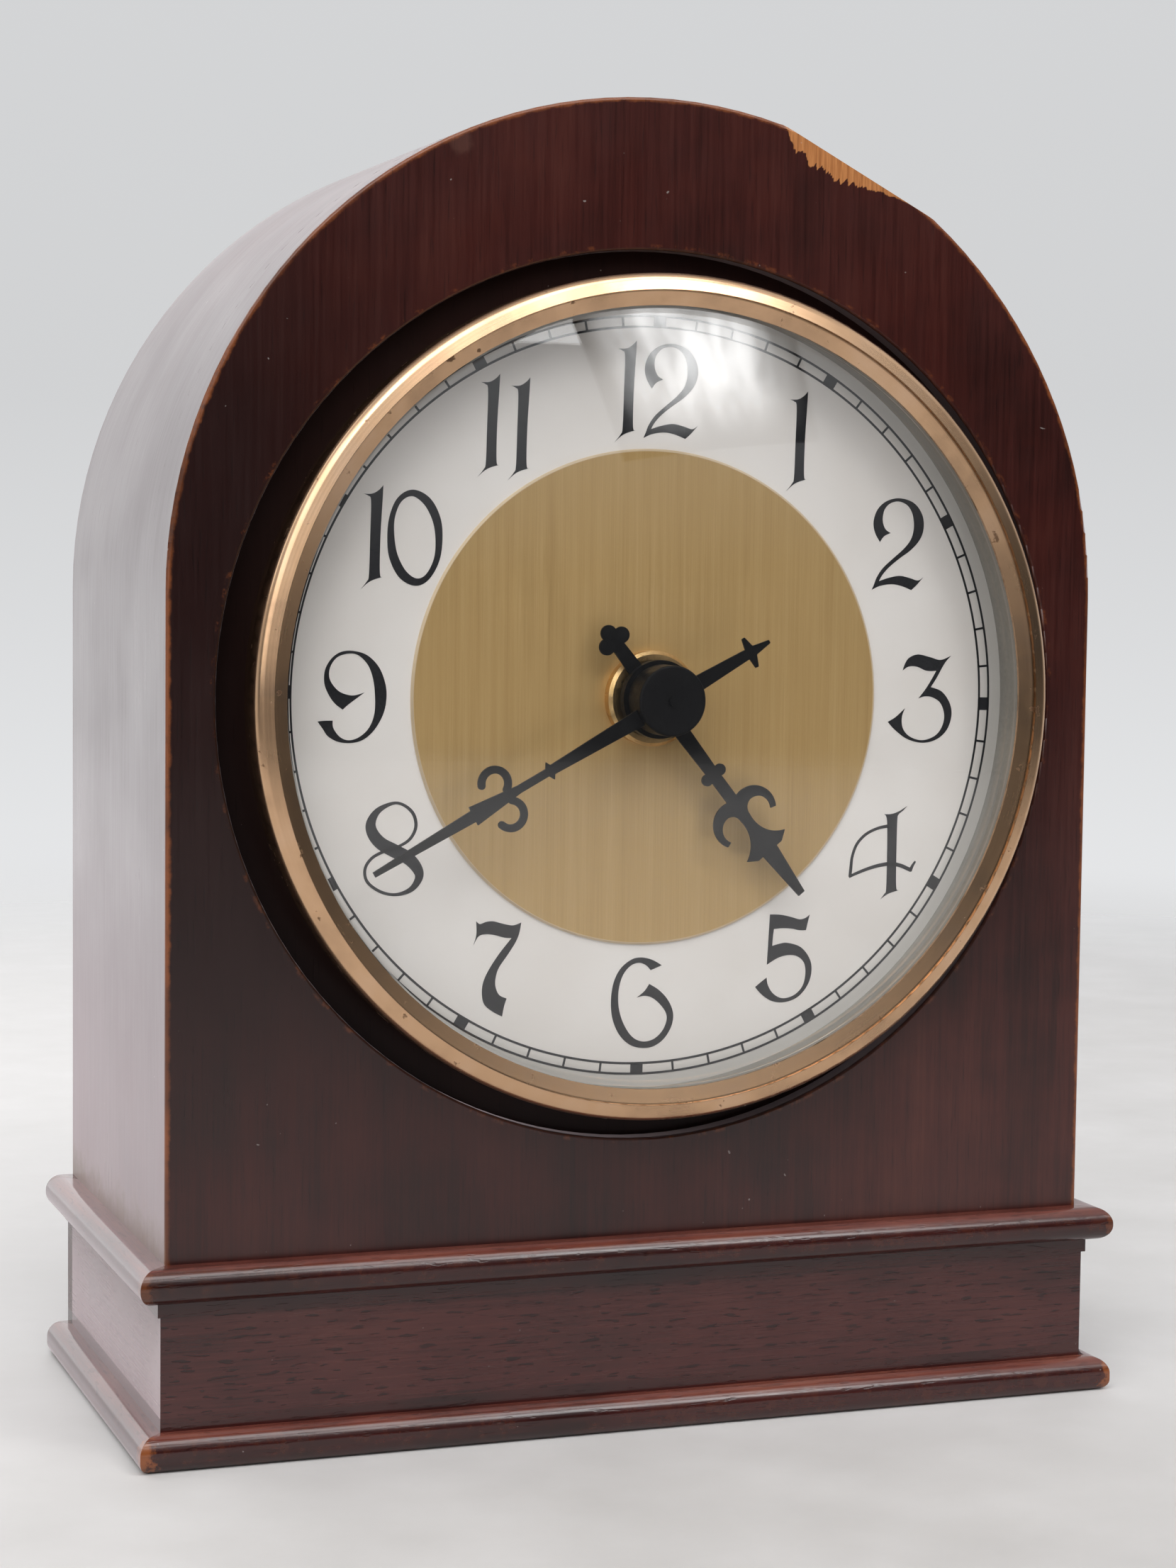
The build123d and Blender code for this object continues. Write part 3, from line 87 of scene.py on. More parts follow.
# Sockets of a Mix node by its kind of data: share, first and second input, and the output
mix_sockets = {"FLOAT": (0, 2, 3, 0), "VECTOR": (0, 4, 5, 1), "RGBA": (0, 6, 7, 2)}


class Graph:
    """Shader nodes, made by short calls from sockets or plain values to sockets."""

    def __init__(self, tree):
        self.tree = tree

    def node(self, kind, inputs=None, **settings):
        """A node with its settings and inputs."""
        made = self.tree.nodes.new(kind)
        for key, value in settings.items():
            setattr(made, key, value)
        for key, value in (inputs or {}).items():
            self.feed(made.inputs[key], value)
        return made

    def feed(self, socket, value):
        """Links a socket to an input, or sets the input's own value."""
        if isinstance(value, bpy.types.NodeSocket):
            self.tree.links.new(value, socket)
        else:
            socket.default_value = value

    def math(self, operation, *values):
        return self.node("ShaderNodeMath", dict(enumerate(values)), operation=operation).outputs[0]

    def plus(self, first, second):
        return self.math("ADD", first, second)

    def minus(self, first, second):
        return self.math("SUBTRACT", first, second)

    def times(self, first, second):
        return self.math("MULTIPLY", first, second)

    def size(self, value):
        """The number without its sign."""
        return self.math("ABSOLUTE", value)

    def mean(self, first, second, first_share=0.5):
        """The weighted mean of two numbers."""
        return self.plus(self.times(first, first_share), self.times(second, 1 - first_share))

    def radius(self, first, second):
        """The distance from the middle, by two coordinates."""
        return self.math("SQRT", self.plus(self.times(first, first), self.times(second, second)))

    def larger(self, first, second):
        return self.math("MAXIMUM", first, second)

    def smaller(self, first, second):
        return self.math("MINIMUM", first, second)

    def both(self, *masks):
        """The product of the masks: 1 where all of them are 1."""
        return reduce(self.times, masks)

    def either(self, *masks):
        """The largest of the masks."""
        return reduce(self.larger, masks)

    def vector(self, operation, *values):
        return self.node("ShaderNodeVectorMath", dict(enumerate(values)), operation=operation).outputs[0]

    def split(self, vector):
        return self.node("ShaderNodeSeparateXYZ", {0: vector}).outputs

    def join(self, x, y, z):
        return self.node("ShaderNodeCombineXYZ", {0: x, 1: y, 2: z}).outputs[0]

    def scaled(self, vector, scale):
        """The vector times one number, or times three in a tuple."""
        return self.vector("MULTIPLY", vector, scale if isinstance(scale, tuple) else (scale,) * 3)

    def rise(self, value, low, high, bottom=0.0, top=1.0, kind="LINEAR"):
        """A rise from bottom at low to top at high; low may be the larger."""
        inputs = {"Value": value, "From Min": low, "From Max": high, "To Min": bottom, "To Max": top}
        return self.node("ShaderNodeMapRange", inputs, interpolation_type=kind).outputs["Result"]

    def step(self, value, low, high, bottom=0.0, top=1.0):
        """The same rise, smooth at both ends."""
        return self.rise(value, low, high, bottom, top, "SMOOTHSTEP")

    def ramp(self, value, *stops):
        """Colours by value, from stops of a value and its colour."""
        made = self.node("ShaderNodeValToRGB", {0: value})
        elements = made.color_ramp.elements
        midway = 0.5
        while len(elements) < len(stops):
            elements.new(midway)
        for element, (place, colour) in zip(elements, stops):
            element.position = place
            element.color = (*colour, 1.0)
        return made.outputs["Color"]

    def between(self, kind, share, first, second, **settings):
        """First where share is 0 and second where it is 1, for that kind of data."""
        made = self.node("ShaderNodeMix", data_type=kind, **settings)
        *inputs, output = mix_sockets[kind]
        for index, value in zip(inputs, (share, first, second)):
            self.feed(made.inputs[index], value)
        return made.outputs[output]

    def mix(self, share, first, second, blend="MIX"):
        """A colour between two colours."""
        ends = [end if isinstance(end, bpy.types.NodeSocket) else (*end, 1.0) for end in (first, second)]
        return self.between("RGBA", share, *ends, blend_type=blend)

    def tint(self, colour, factors):
        """The colour times another one."""
        return self.mix(1.0, colour, factors, "MULTIPLY")

    def blend(self, share, first, second):
        """A number between two numbers."""
        return self.between("FLOAT", share, first, second)

    def choose(self, share, first, second):
        """A vector between two vectors."""
        return self.between("VECTOR", share, first, second)


class Surface(Graph):
    """A material's nodes, with the place on the object in millimetres."""

    def __init__(self, name):
        self.material = bpy.data.materials.new(name)
        self.material.use_nodes = True
        super().__init__(self.material.node_tree)
        self.shader = self.tree.nodes["Principled BSDF"]
        self.output = self.tree.nodes["Material Output"]
        self.coords = self.node("ShaderNodeTexCoord").outputs
        self.place = self.scaled(self.coords["Object"], 1 / MM)
        self.x, self.y, self.z = self.split(self.place)

    def facing(self, axis):
        """How far the surface faces along an axis, by its number."""
        return self.split(self.coords["Normal"])[axis]

    def noise(self, scale, detail=3.0, rough=0.5, at=None):
        """Soft noise over the place or another vector, with about one feature per scaled unit."""
        vector = self.scaled(at or self.place, scale)
        inputs = {"Vector": vector, "Scale": 1.0, "Detail": detail, "Roughness": rough}
        return self.node("ShaderNodeTexNoise", inputs).outputs["Fac"]

    def from_dial(self):
        """The distance from the dial's axis."""
        return self.radius(self.x, self.minus(self.z, dial_height))

    def normal(self, kind="Normal"):
        """The mesh's own shading direction, or that of its faces as True Normal."""
        return self.node("ShaderNodeNewGeometry").outputs[kind]

    def shade(self, **inputs):
        """Feeds the shader's inputs, named with underscores for spaces."""
        for key, value in inputs.items():
            self.feed(self.shader.inputs[key.replace("_", " ")], value)

    def roughen(self, noise, low, high):
        """Roughness between two values, by a noise."""
        self.shade(Roughness=self.step(noise, *noise_span, low, high))

    def bump(self, height, distance, normal=None):
        """Relief of that many millimetres, on the mesh's own shading direction or a given one."""
        made = self.node("ShaderNodeBump", {"Height": height, "Distance": distance * MM, "Strength": 1.0})
        if normal:
            self.feed(made.inputs["Normal"], normal)
        self.shade(Normal=made.outputs["Normal"])

    def show(self, shader):
        """Puts another shader on the surface."""
        self.feed(self.output.inputs["Surface"], shader.outputs[0])

    def clear(self, share, passes):
        """Lets light of a colour straight through where share is 1."""
        through = self.node("ShaderNodeBsdfTransparent", {"Color": passes})
        shaders = {1: self.shader.outputs[0], 2: through.outputs[0]}
        self.show(self.node("ShaderNodeMixShader", {0: share, **shaders}))


# Wood tones: stained and lacquered from dark to light, a darker front tone, the recess's dark finish with
# painted shade, worn, bare, and what lies on them, with painted sheen in the bloom
stain_dark = (0.016, 0.0026, 0.0022)
stain_mid = (0.036, 0.0056, 0.0045)
stain_light = (0.052, 0.0098, 0.0072)
front_darkening_tone = (0.010, 0.0018, 0.0015)
recess_finish_and_shade_tone = (0.0085, 0.0046, 0.0045)
worn_tone = (0.24, 0.070, 0.020)
scuff_tone = (0.30, 0.16, 0.12)
bare_dark = (0.30, 0.105, 0.032)
bare_mid = (0.50, 0.21, 0.072)
bare_light = (0.62, 0.30, 0.12)
dust_tone = (0.45, 0.42, 0.40)
grime_tone = (0.20, 0.13, 0.085)
bloom_and_sheen_tone = (0.42, 0.36, 0.36)
sheen_tint = (0.93, 0.79, 0.84, 1.0)
pore_tint = (0.30, 0.26, 0.28)

# Grain: features per millimetre, twice across the fibres and once along them
fibre_scale = (1.9, 1.9, 0.055)
figure_scale = (0.14, 0.14, 0.014)
pore_scale = (3.1, 3.1, 0.16)
dash_scale = (1.7, 1.7, 0.30)
splinter_scale = (2.4, 2.4, 0.10)
cloud_scale = 0.035
smear_scale = 0.045
speck_scale = 0.95
seed_shift = (1.0, 1.7, 0.3)

# Grain: the noise over which pores, dashes and specks show, then strengths, gloss and haze
pore_rise = (0.60, 0.72)
dash_rise = (0.60, 0.68)
speck_rise = (0.812, 0.83)
cloud_strength = 0.8
pore_depth = 0.8
lacquer_gloss = 0.6
lacquer_spread = 0.1
haze_rough = 0.35
haze_flat = 0.25


def grain(g, along, seed):
    """Colour, fibres and pores of stained mahogany whose fibres run along the vector's third axis."""
    shifted = g.vector("ADD", along, [seed * share for share in seed_shift])
    fibre = g.noise(fibre_scale, detail=5.0, rough=0.62, at=shifted)
    figure = g.noise(figure_scale, rough=0.55, at=shifted)
    cloud = g.noise(cloud_scale, detail=4.0, rough=0.6, at=shifted)
    pores = g.step(g.noise(pore_scale, detail=2.0, at=shifted), *pore_rise)
    tone = g.plus(g.mean(fibre, figure), g.times(g.minus(cloud, noise_middle), cloud_strength))
    colour = g.ramp(tone, (0.30, stain_dark), (0.52, stain_mid), (0.74, stain_light))
    return colour, fibre, pores


def dusted(g, colour, share):
    """The colour with rare pale specks of dust."""
    specks = g.step(g.noise(speck_scale, detail=1.0), *speck_rise)
    return g.mix(g.times(specks, share), colour, dust_tone)


def finish_wood(g, colour, fibre, pores, rough, pore_share, relief, hazed):
    """Pores, gloss and relief over a wood colour, with a flat bloom of dust on the hazed part."""
    g.shade(Base_Color=g.mix(g.times(pores, pore_share), colour, g.tint(colour, pore_tint)))
    g.roughen(g.mean(fibre, g.noise(smear_scale)), rough, rough + lacquer_spread)
    g.shade(Specular_IOR_Level=lacquer_gloss, Sheen_Weight=hazed)
    g.shade(Sheen_Roughness=haze_rough, Sheen_Tint=sheen_tint)
    clean = g.step(hazed, 0.0, haze_flat, 1.0, 0.0)
    g.bump(g.times(clean, g.minus(fibre, g.times(pores, pore_depth))), relief)


# Zones of the case's tone and of its painted sheen, by x or by height
warm_rise = (70.0, 180.0)
warm_low = (0.95, 1.10, 1.05)
warm_high = (1.10, 1.15, 0.98)
bright_across = (-10.0, 60.0)
bright_down = (105.0, 45.0)
painted_sheen_tint = (1.5, 1.9, 1.9)
deep_across = (-15.0, -66.0)
deep_top = (205.0, 150.0)
deep_foot = (35.0, 75.0)
deep_share = 0.9


def front_tone_and_painted_sheen(g, colour):
    """Tone over the front: warmer above, a painted grey sheen at the lower right, darker towards the left."""
    colour = g.tint(colour, g.mix(g.step(g.z, *warm_rise), warm_low, warm_high))
    # Painted sheen: the lower right of the front lightened and greyed, as the table's reflection
    bright = g.both(g.step(g.x, *bright_across), g.step(g.z, *bright_down))
    colour = g.mix(bright, colour, g.tint(colour, painted_sheen_tint))
    # The front made darker towards the left, between its foot and its top
    deep = g.both(g.step(g.x, *deep_across), g.step(g.z, *deep_top), g.step(g.z, *deep_foot))
    return g.mix(g.times(deep, deep_share), colour, front_darkening_tone)


# Grime at the foot of the case's sides
grime_ragged = 12.0
grime_fall = (case_foot + 14.0, case_foot + 3.5)
grime_share = 0.8


def grime_mask(g, on_side):
    """Grime along the foot of the sides, with a ragged upper edge."""
    ragged = g.times(g.noise(0.3, detail=4.0, rough=0.7), grime_ragged)
    return g.both(on_side, g.step(g.plus(g.z, ragged), *grime_fall))


# Worn front corner, recess with its dark finish and painted shade, and lip, by distance from the corner, the
# dial's axis and the case front
corner_ragged = -1.1
corner_fall = (0.35, -0.25)
corner_uneven = (0.30, 0.55)
corner_least = 0.35
corner_share = 0.8
lip_radius = recess_radius + 0.5
recess_fall = (lip_radius, recess_radius - 0.1)
recess_depth = (-0.05, 0.5)
recess_share = 0.9
recess_gloss = 0.1
lip_fall = (0.55, 0.1)
lip_spots = (0.52, 0.68)
lip_depth = (0.8, 0.2)
lip_share = 0.35


def corner_mask(g, reach, behind, ragged):
    """The case's rubbed front corner, stronger and weaker along its way."""
    away = g.plus(g.plus(g.minus(case_half, reach), behind), g.times(ragged, corner_ragged))
    uneven = g.noise(0.05, detail=2.0)
    return g.both(g.step(away, *corner_fall), g.step(uneven, *corner_uneven, corner_least, 1.0))


def recess_masks(g, behind, ragged):
    """The recess round the bezel, darkened for its dark finish and as painted shade, and the rubbed spots on
    its lip.
    """
    reach = g.from_dial()
    sunk = g.both(g.step(reach, *recess_fall), g.step(behind, *recess_depth))
    from_lip = g.size(g.minus(reach, lip_radius))
    lip = g.both(g.step(from_lip, *lip_fall), g.step(ragged, *lip_spots), g.step(behind, *lip_depth))
    return sunk, lip


# Torn wood at the chip: its ends in radians, the fringe under its flat, and its depth behind the front
torn_start = (chip_start - 0.01, chip_start + 0.02)
torn_end = (chip_end + 0.01, chip_end - 0.03)
fringe_start = (chip_start, chip_start + 0.05)
fringe_end = (chip_end - 0.06, chip_start + 0.14)
fringe_width = 3.4
fringe_least = 0.55
tooth_scale = 0.42
tooth_rise = (0.36, 0.62)
torn_edge = (0.12, -0.12)
torn_depth = (9.4, 8.9)


def torn_mask(g, behind):
    """The bare faces of the chip, with a toothed fringe below its flat."""
    lift = g.minus(g.z, springing)
    towards = g.plus(g.times(g.x, math.sin(chip_turn)), g.times(lift, math.cos(chip_turn)))
    under = g.minus(chip_chord, towards)
    angle = g.math("ARCTAN2", g.x, lift)
    inside = g.both(g.step(angle, *torn_start), g.step(angle, *torn_end))
    teeth = g.noise(tooth_scale, rough=0.7, at=g.join(g.times(angle, case_half), 0.0, 0.0))
    fringe = g.times(g.step(angle, *fringe_start, 0.0, fringe_width), g.step(angle, *fringe_end))
    jag = g.minus(under, g.times(fringe, g.step(teeth, *tooth_rise, fringe_least, 1.0)))
    return g.both(inside, g.step(jag, *torn_edge), g.step(behind, *torn_depth))


# Faint scuff on the front, by its way left of the middle and its height
scuff_left = 31.0
scuff_height = 193.2
scuff_ragged = 2.2
scuff_fall = (3.4, 2.2)
scuff_depth = (0.6, 0.2)
scuff_share = 0.10


def scuff_mask(g, behind, ragged):
    """A small scuff with a ragged edge."""
    reach = g.radius(g.plus(g.x, scuff_left), g.minus(g.z, scuff_height))
    reach = g.plus(reach, g.times(ragged, scuff_ragged))
    return g.both(g.step(reach, *scuff_fall), g.step(behind, *scuff_depth))


# Case: where its sides begin by their facing, and how haze and gloss change with height
case_seed = 3.0
case_side = (0.72, 0.68)
case_haze_rise = (40.0, 115.0)
case_haze = (0.95, 0.32)
grime_haze = 0.3
case_gloss_rise = (60.0, 150.0)
case_gloss = (lacquer_gloss, 0.38)


def case_wood():
    """Front board and hood: upright grain on the front, grain along the bend on the sides and top."""
    g = Surface("mahogany_case")
    lift = g.larger(g.minus(g.z, springing), 0.0)
    reach = g.radius(g.x, lift)
    turn = g.math("ARCTAN2", lift, g.size(g.x))
    run = g.plus(g.smaller(g.z, springing), g.times(turn, case_half))
    on_side = g.step(g.size(g.facing(1)), *case_side)
    along = g.choose(on_side, g.place, g.join(reach, g.y, run))
    behind = g.minus(g.y, case_front)
    ragged = g.noise(0.55, detail=4.0, rough=0.65)

    colour, fibre, pores = grain(g, along, case_seed)
    colour = front_tone_and_painted_sheen(g, colour)
    grime = grime_mask(g, on_side)
    colour = g.mix(g.times(grime, grime_share), colour, grime_tone)
    colour = g.mix(g.times(corner_mask(g, reach, behind, ragged), corner_share), colour, worn_tone)
    sunk, lip = recess_masks(g, behind, ragged)
    # The recess round the bezel darkened for its dark finish and as painted shade
    colour = g.mix(g.times(sunk, recess_share), colour, recess_finish_and_shade_tone)
    colour = g.mix(g.times(lip, lip_share), colour, worn_tone)
    splinters = g.noise(splinter_scale, detail=4.0, rough=0.65, at=along)
    bare = g.ramp(splinters, (0.32, bare_dark), (0.62, bare_mid), (0.8, bare_light))
    colour = g.mix(torn_mask(g, behind), colour, bare)
    colour = g.mix(g.times(scuff_mask(g, behind, ragged), scuff_share), colour, scuff_tone)
    colour = dusted(g, colour, share=0.35)

    hazed = g.both(on_side, g.step(grime, 0.0, 1.0, 1.0, grime_haze),
                   g.step(g.z, *case_haze_rise, *case_haze))
    finish_wood(g, colour, fibre, pores, rough=0.27, pore_share=0.45, relief=0.010, hazed=hazed)
    g.shade(Specular_IOR_Level=g.blend(sunk, g.step(g.z, *case_gloss_rise, *case_gloss), recess_gloss))
    return g.material


# Base: the mitres, its tops lightened as painted light, the sides' bloom with painted sheen, and the wear on
# the mouldings' corners and rims
mitre = (-0.1, 0.1)
top_facing = (0.35, 0.9)
top_painted_light_tint = (3.8, 6.6, 5.6)
bloom_and_sheen_share = 0.25
fine_pores = 0.5
left_ragged = 7.0
left_fall = (6.0, 4.6)
right_ragged = 6.0
right_fall = (4.6, 3.6)
rub_rise = (10.0, 20.0)
rub_share = (0.9, 0.35)
rim_fall = (2.6, 1.0)
rim_spots = (0.46, 0.66)
rim_share = 0.07


def rubbed(g, colour, from_side, from_front):
    """The colour with rubbed front corners, more on the lower moulding, and rubbed spots along the rim."""
    ragged = g.noise(0.6, detail=4.0, rough=0.65)
    left = g.plus(g.radius(g.plus(g.x, base_half), from_front), g.times(ragged, left_ragged))
    right = g.plus(g.radius(g.minus(g.x, base_half), from_front), g.times(ragged, right_ragged))
    corners = g.either(g.step(left, *left_fall), g.step(right, *right_fall))
    colour = g.mix(g.times(corners, g.step(g.z, *rub_rise, *rub_share)), colour, worn_tone)
    rim = g.step(g.smaller(from_side, from_front), *rim_fall)
    return g.mix(g.times(g.both(rim, g.step(ragged, *rim_spots)), rim_share), colour, worn_tone)


def base_wood(name, seed, tint, rough, pore_share, bloom, wear=False):
    """Plinth and mouldings: grain along the front board and, past the mitres, along the side boards."""
    g = Surface(name)
    from_side = g.minus(base_half, g.size(g.x))
    from_front = g.minus(g.y, base_front)
    from_back = g.minus(base_back, g.y)
    on_side = g.step(g.minus(g.smaller(from_front, from_back), from_side), *mitre)
    along = g.choose(on_side, g.join(g.y, g.z, g.x), g.join(g.x, g.z, g.y))
    colour, fibre, pores = grain(g, along, seed)
    colour = g.tint(colour, tint)
    # Painted light: faces turned upwards lightened, as lit from above
    colour = g.mix(g.step(g.facing(2), *top_facing), colour, g.tint(colour, top_painted_light_tint))
    # Dust bloom and painted sheen: the side boards paled towards lilac grey
    colour = g.mix(g.times(on_side, bloom * bloom_and_sheen_share), colour, bloom_and_sheen_tone)
    dashes = g.step(g.noise(dash_scale, detail=2.0, rough=0.4, at=along), *dash_rise)
    pores = g.either(g.times(pores, fine_pores), dashes)
    if wear:
        colour = rubbed(g, colour, from_side, from_front)
    colour = dusted(g, colour, share=0.3)
    finish_wood(g, colour, fibre, pores, rough, pore_share, relief=0.015, hazed=g.times(on_side, bloom))
    return g.material


def plain_wood(name, dark, middle, light, rough, scale):
    """Upright boards of other wood: the door and the glue blocks."""
    g = Surface(name)
    fibre_across = 1.3 * scale
    figure_across = 0.14 * scale
    fibre = g.noise((fibre_across, fibre_across, 0.03), detail=5.0, rough=0.6)
    figure = g.noise((figure_across, figure_across, 0.008))
    colour = g.ramp(g.mean(fibre, figure), (0.32, dark), (0.5, middle), (0.7, light))
    rub = g.step(g.noise(0.06), 0.62, 0.78)
    g.shade(Base_Color=g.mix(g.times(rub, 0.35), colour, light))
    g.roughen(fibre, rough, rough + 0.15)
    g.bump(fibre, 0.02)
    return g.material


# Bezel: brass from dull to bright, the corner at its step darkened by grime and painted shade, its tarnish,
# and the widths of soft seams
brass_dull = (0.48, 0.305, 0.185)
brass_mid = (0.62, 0.395, 0.235)
brass_bright = (0.66, 0.44, 0.285)
brass_corner_grime_and_shade = (0.13, 0.075, 0.038)
brass_tarnish = (0.10, 0.05, 0.028)
tarnish_rise = (0.66, 0.72)
tarnish_share = 0.75
corner_inner = (bezel_step - 0.28, bezel_step - 0.08)
corner_outer = (bezel_step + 0.06, bezel_step + 0.02)
corner_grime_shade_share = 0.7
wall_half = (0.03, 0.01)
wall_rise = (bezel_step_proud, bezel_step_proud + 0.05)
band_begins = (bezel_step + 0.02, bezel_step + 0.06)
front_begins = (bezel_opening + 0.02, bezel_opening + 0.06)
front_rise = (bezel_rim_proud + 0.02, bezel_rim_proud + 0.1)
steepest_lean = 0.999


def turned_normal(g, reach):
    """The shading direction of the bezel's front by its turned shape, and the mesh's own elsewhere."""
    lift = g.minus(g.z, dial_height)
    proud = g.minus(case_front, g.y)
    shoulder = g.math("DIVIDE", g.minus(reach, shoulder_centre), shoulder_radius)
    outer = g.smaller(g.larger(shoulder, math.sin(band_slope)), steepest_lean)
    bevel_slope = math.atan2(bezel_step_proud - bezel_opening_proud, bezel_step - bezel_opening)
    lean = g.blend(g.step(reach, *band_begins), -math.sin(bevel_slope), outer)
    forward = g.math("SQRT", g.minus(1.0, g.times(lean, lean)))
    share = g.math("DIVIDE", lean, reach)
    turned = g.join(g.times(g.x, share), g.times(forward, -1.0), g.times(lift, share))
    wall = g.both(g.step(g.size(g.minus(reach, bezel_step)), *wall_half), g.step(proud, *wall_rise))
    front = g.both(g.step(reach, *front_begins), g.step(wall, 1.0, 0.0), g.step(proud, *front_rise))
    return g.choose(front, g.normal(), turned)


def bezel_brass():
    """Spun brass with fine rings, a warm cast, a few spots of tarnish, and grime with painted shade in the
    corner at its step.
    """
    g = Surface("bezel_brass")
    reach = g.from_dial()
    rings = g.noise(3.0, rough=0.6, at=g.join(reach, g.y, 0.0))
    stain = g.noise(0.09, detail=4.0, rough=0.6)
    spots = g.step(g.noise(0.42, rough=0.6), *tarnish_rise)
    colour = g.ramp(stain, (0.32, brass_dull), (0.52, brass_mid), (0.72, brass_bright))
    # Grime and painted shade darken the corner at the step
    corner = g.both(g.step(reach, *corner_inner), g.step(reach, *corner_outer))
    colour = g.mix(g.times(corner, corner_grime_shade_share), colour, brass_corner_grime_and_shade)
    g.shade(Base_Color=g.mix(g.times(spots, tarnish_share), colour, brass_tarnish), Metallic=1.0)
    rough = g.plus(g.step(stain, *noise_span, 0.24, 0.17), g.times(spots, 0.25))
    g.shade(Roughness=g.plus(rough, g.times(rings, 0.07)))
    g.bump(rings, 0.003, turned_normal(g, reach))
    return g.material


# Dial: gold of the middle with its pale edge as a painted highlight, white lacquer with its margin under the
# bezel darkened as painted shade
gold_dark = (0.53, 0.335, 0.132)
gold_mid = (0.61, 0.400, 0.165)
gold_light = (0.68, 0.465, 0.215)
gold_edge_highlight = (0.78, 0.62, 0.42)
gold_edge_rise = (37.05, 37.2)
white_dark = (0.79, 0.74, 0.70)
white_light = (0.84, 0.795, 0.76)
margin_shade_tone = (0.36, 0.345, 0.315)
margin_rise = (54.9, 58.4)
margin_share = 0.62


def dial_gold():
    """Upright brushed gold with a pale edge painted as a highlight."""
    g = Surface("dial_gold")
    strokes = g.noise((6.5, 1.0, 0.035), detail=4.0, rough=0.75)
    bands = g.noise((0.6, 1.0, 0.008), rough=0.6)
    tone = g.mean(strokes, bands, first_share=0.6)
    colour = g.ramp(tone, (0.30, gold_dark), (0.5, gold_mid), (0.70, gold_light))
    # Painted highlight: the edge of the gold lightened all round
    g.shade(Base_Color=g.mix(g.step(g.from_dial(), *gold_edge_rise), colour, gold_edge_highlight), Metallic=0.55)
    g.roughen(strokes, 0.30, 0.42)
    g.bump(strokes, 0.003)
    return g.material


def dial_white():
    """Off-white satin lacquer with a faint cloud and fine grain, darkened as painted shade at its margin
    under the bezel.
    """
    g = Surface("dial_white")
    grit = g.noise(3.2, detail=2.0)
    colour = g.ramp(g.noise(0.05), (0.35, white_dark), (0.65, white_light))
    # Painted shade: the margin under the bezel darkened
    margin = g.step(g.from_dial(), *margin_rise, 0.0, margin_share)
    g.shade(Base_Color=g.mix(margin, colour, margin_shade_tone))
    g.roughen(grit, 0.36, 0.46)
    g.bump(grit, 0.002)
    return g.material


def speckled(name, dark, light, rough, scale, relief, metallic=0.0, gloss=0.5, flat=False):
    """A plain finish with a fine grain in colour, gloss and relief."""
    g = Surface(name)
    fine = g.noise(scale, rough=0.6)
    broad = g.noise(scale * 0.05, detail=2.0)
    colour = g.ramp(g.mean(fine, broad, first_share=0.6), (0.34, dark), (0.66, light))
    g.shade(Base_Color=colour, Metallic=metallic, Specular_IOR_Level=gloss)
    g.roughen(fine, rough, rough + 0.12)
    g.bump(fine, relief, g.normal("True Normal") if flat else None)
    return g.material


def drawn_metal(name, dark, light, rough, stretch):
    """Metal with fine lines along one direction."""
    g = Surface(name)
    lines = g.noise(stretch, detail=4.0, rough=0.7)
    stain = g.noise(0.12)
    g.shade(Base_Color=g.ramp(g.mean(lines, stain), (0.34, dark), (0.66, light)), Metallic=1.0)
    g.roughen(stain, rough, rough + 0.14)
    g.bump(lines, 0.004)
    return g.material


# Coil wire, its turns in radians per millimetre, and the cell's jacket with its bare ends
copper_dark = (0.22, 0.06, 0.02)
copper_light = (0.62, 0.24, 0.10)
wire_turns = 24.0
wire_depth = 0.25
jacket_dark = (0.055, 0.065, 0.085)
jacket_light = (0.085, 0.095, 0.115)
bare_metal = (0.62, 0.61, 0.58)
left_end = (2.2, 1.8)
right_end = (2.6, 2.2)


def copper_wire():
    """Turns of enamelled wire side by side."""
    g = Surface("coil_copper")
    turns = g.math("SINE", g.times(g.x, wire_turns))
    blur = g.noise(1.1)
    colour = g.ramp(g.plus(g.times(turns, wire_depth), blur), (0.2, copper_dark), (0.8, copper_light))
    g.shade(Base_Color=colour, Metallic=0.8)
    g.roughen(blur, 0.28, 0.42)
    g.bump(turns, 0.03)
    return g.material


def cell_jacket():
    """Plain jacket with bare ends."""
    g = Surface("cell_jacket")
    low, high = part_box("battery")
    left = [low.x / MM + inset for inset in left_end]
    right = [high.x / MM - inset for inset in right_end]
    ends = g.either(g.step(g.x, *left), g.step(g.x, *right))
    fine = g.noise(1.4)
    jacket = g.ramp(fine, (0.3, jacket_dark), (0.7, jacket_light))
    g.shade(Base_Color=g.mix(ends, jacket, bare_metal), Metallic=ends)
    g.roughen(fine, 0.26, 0.36)
    return g.material


# Glass: its colour, what passes it towards the dial, and its smears of dust
glass_tone = (0.985, 0.99, 0.99, 1.0)
glass_passes = (0.93, 0.935, 0.935, 1.0)
glass_index = 1.5
dust_scale = (0.05, 0.05, 0.02)
dust_rise = (0.5, 0.75)
dust_rough = 0.035
dome_edge = (glass_dome, glass_dome - 0.1)


def domed_normal(g):
    """The shading direction of the glass by its dome, on both faces, and the mesh's own at the flat rim."""
    plain = g.normal()
    lift = g.minus(g.z, dial_height)
    domed = g.vector("NORMALIZE", g.join(g.x, g.minus(g.y, glass_centre), lift))
    side = g.times(g.math("SIGN", g.split(plain)[1]), -1.0)
    domed = g.node("ShaderNodeVectorMath", {0: domed, "Scale": side}, operation="SCALE").outputs[0]
    return g.choose(g.step(g.from_dial(), *dome_edge), plain, domed)


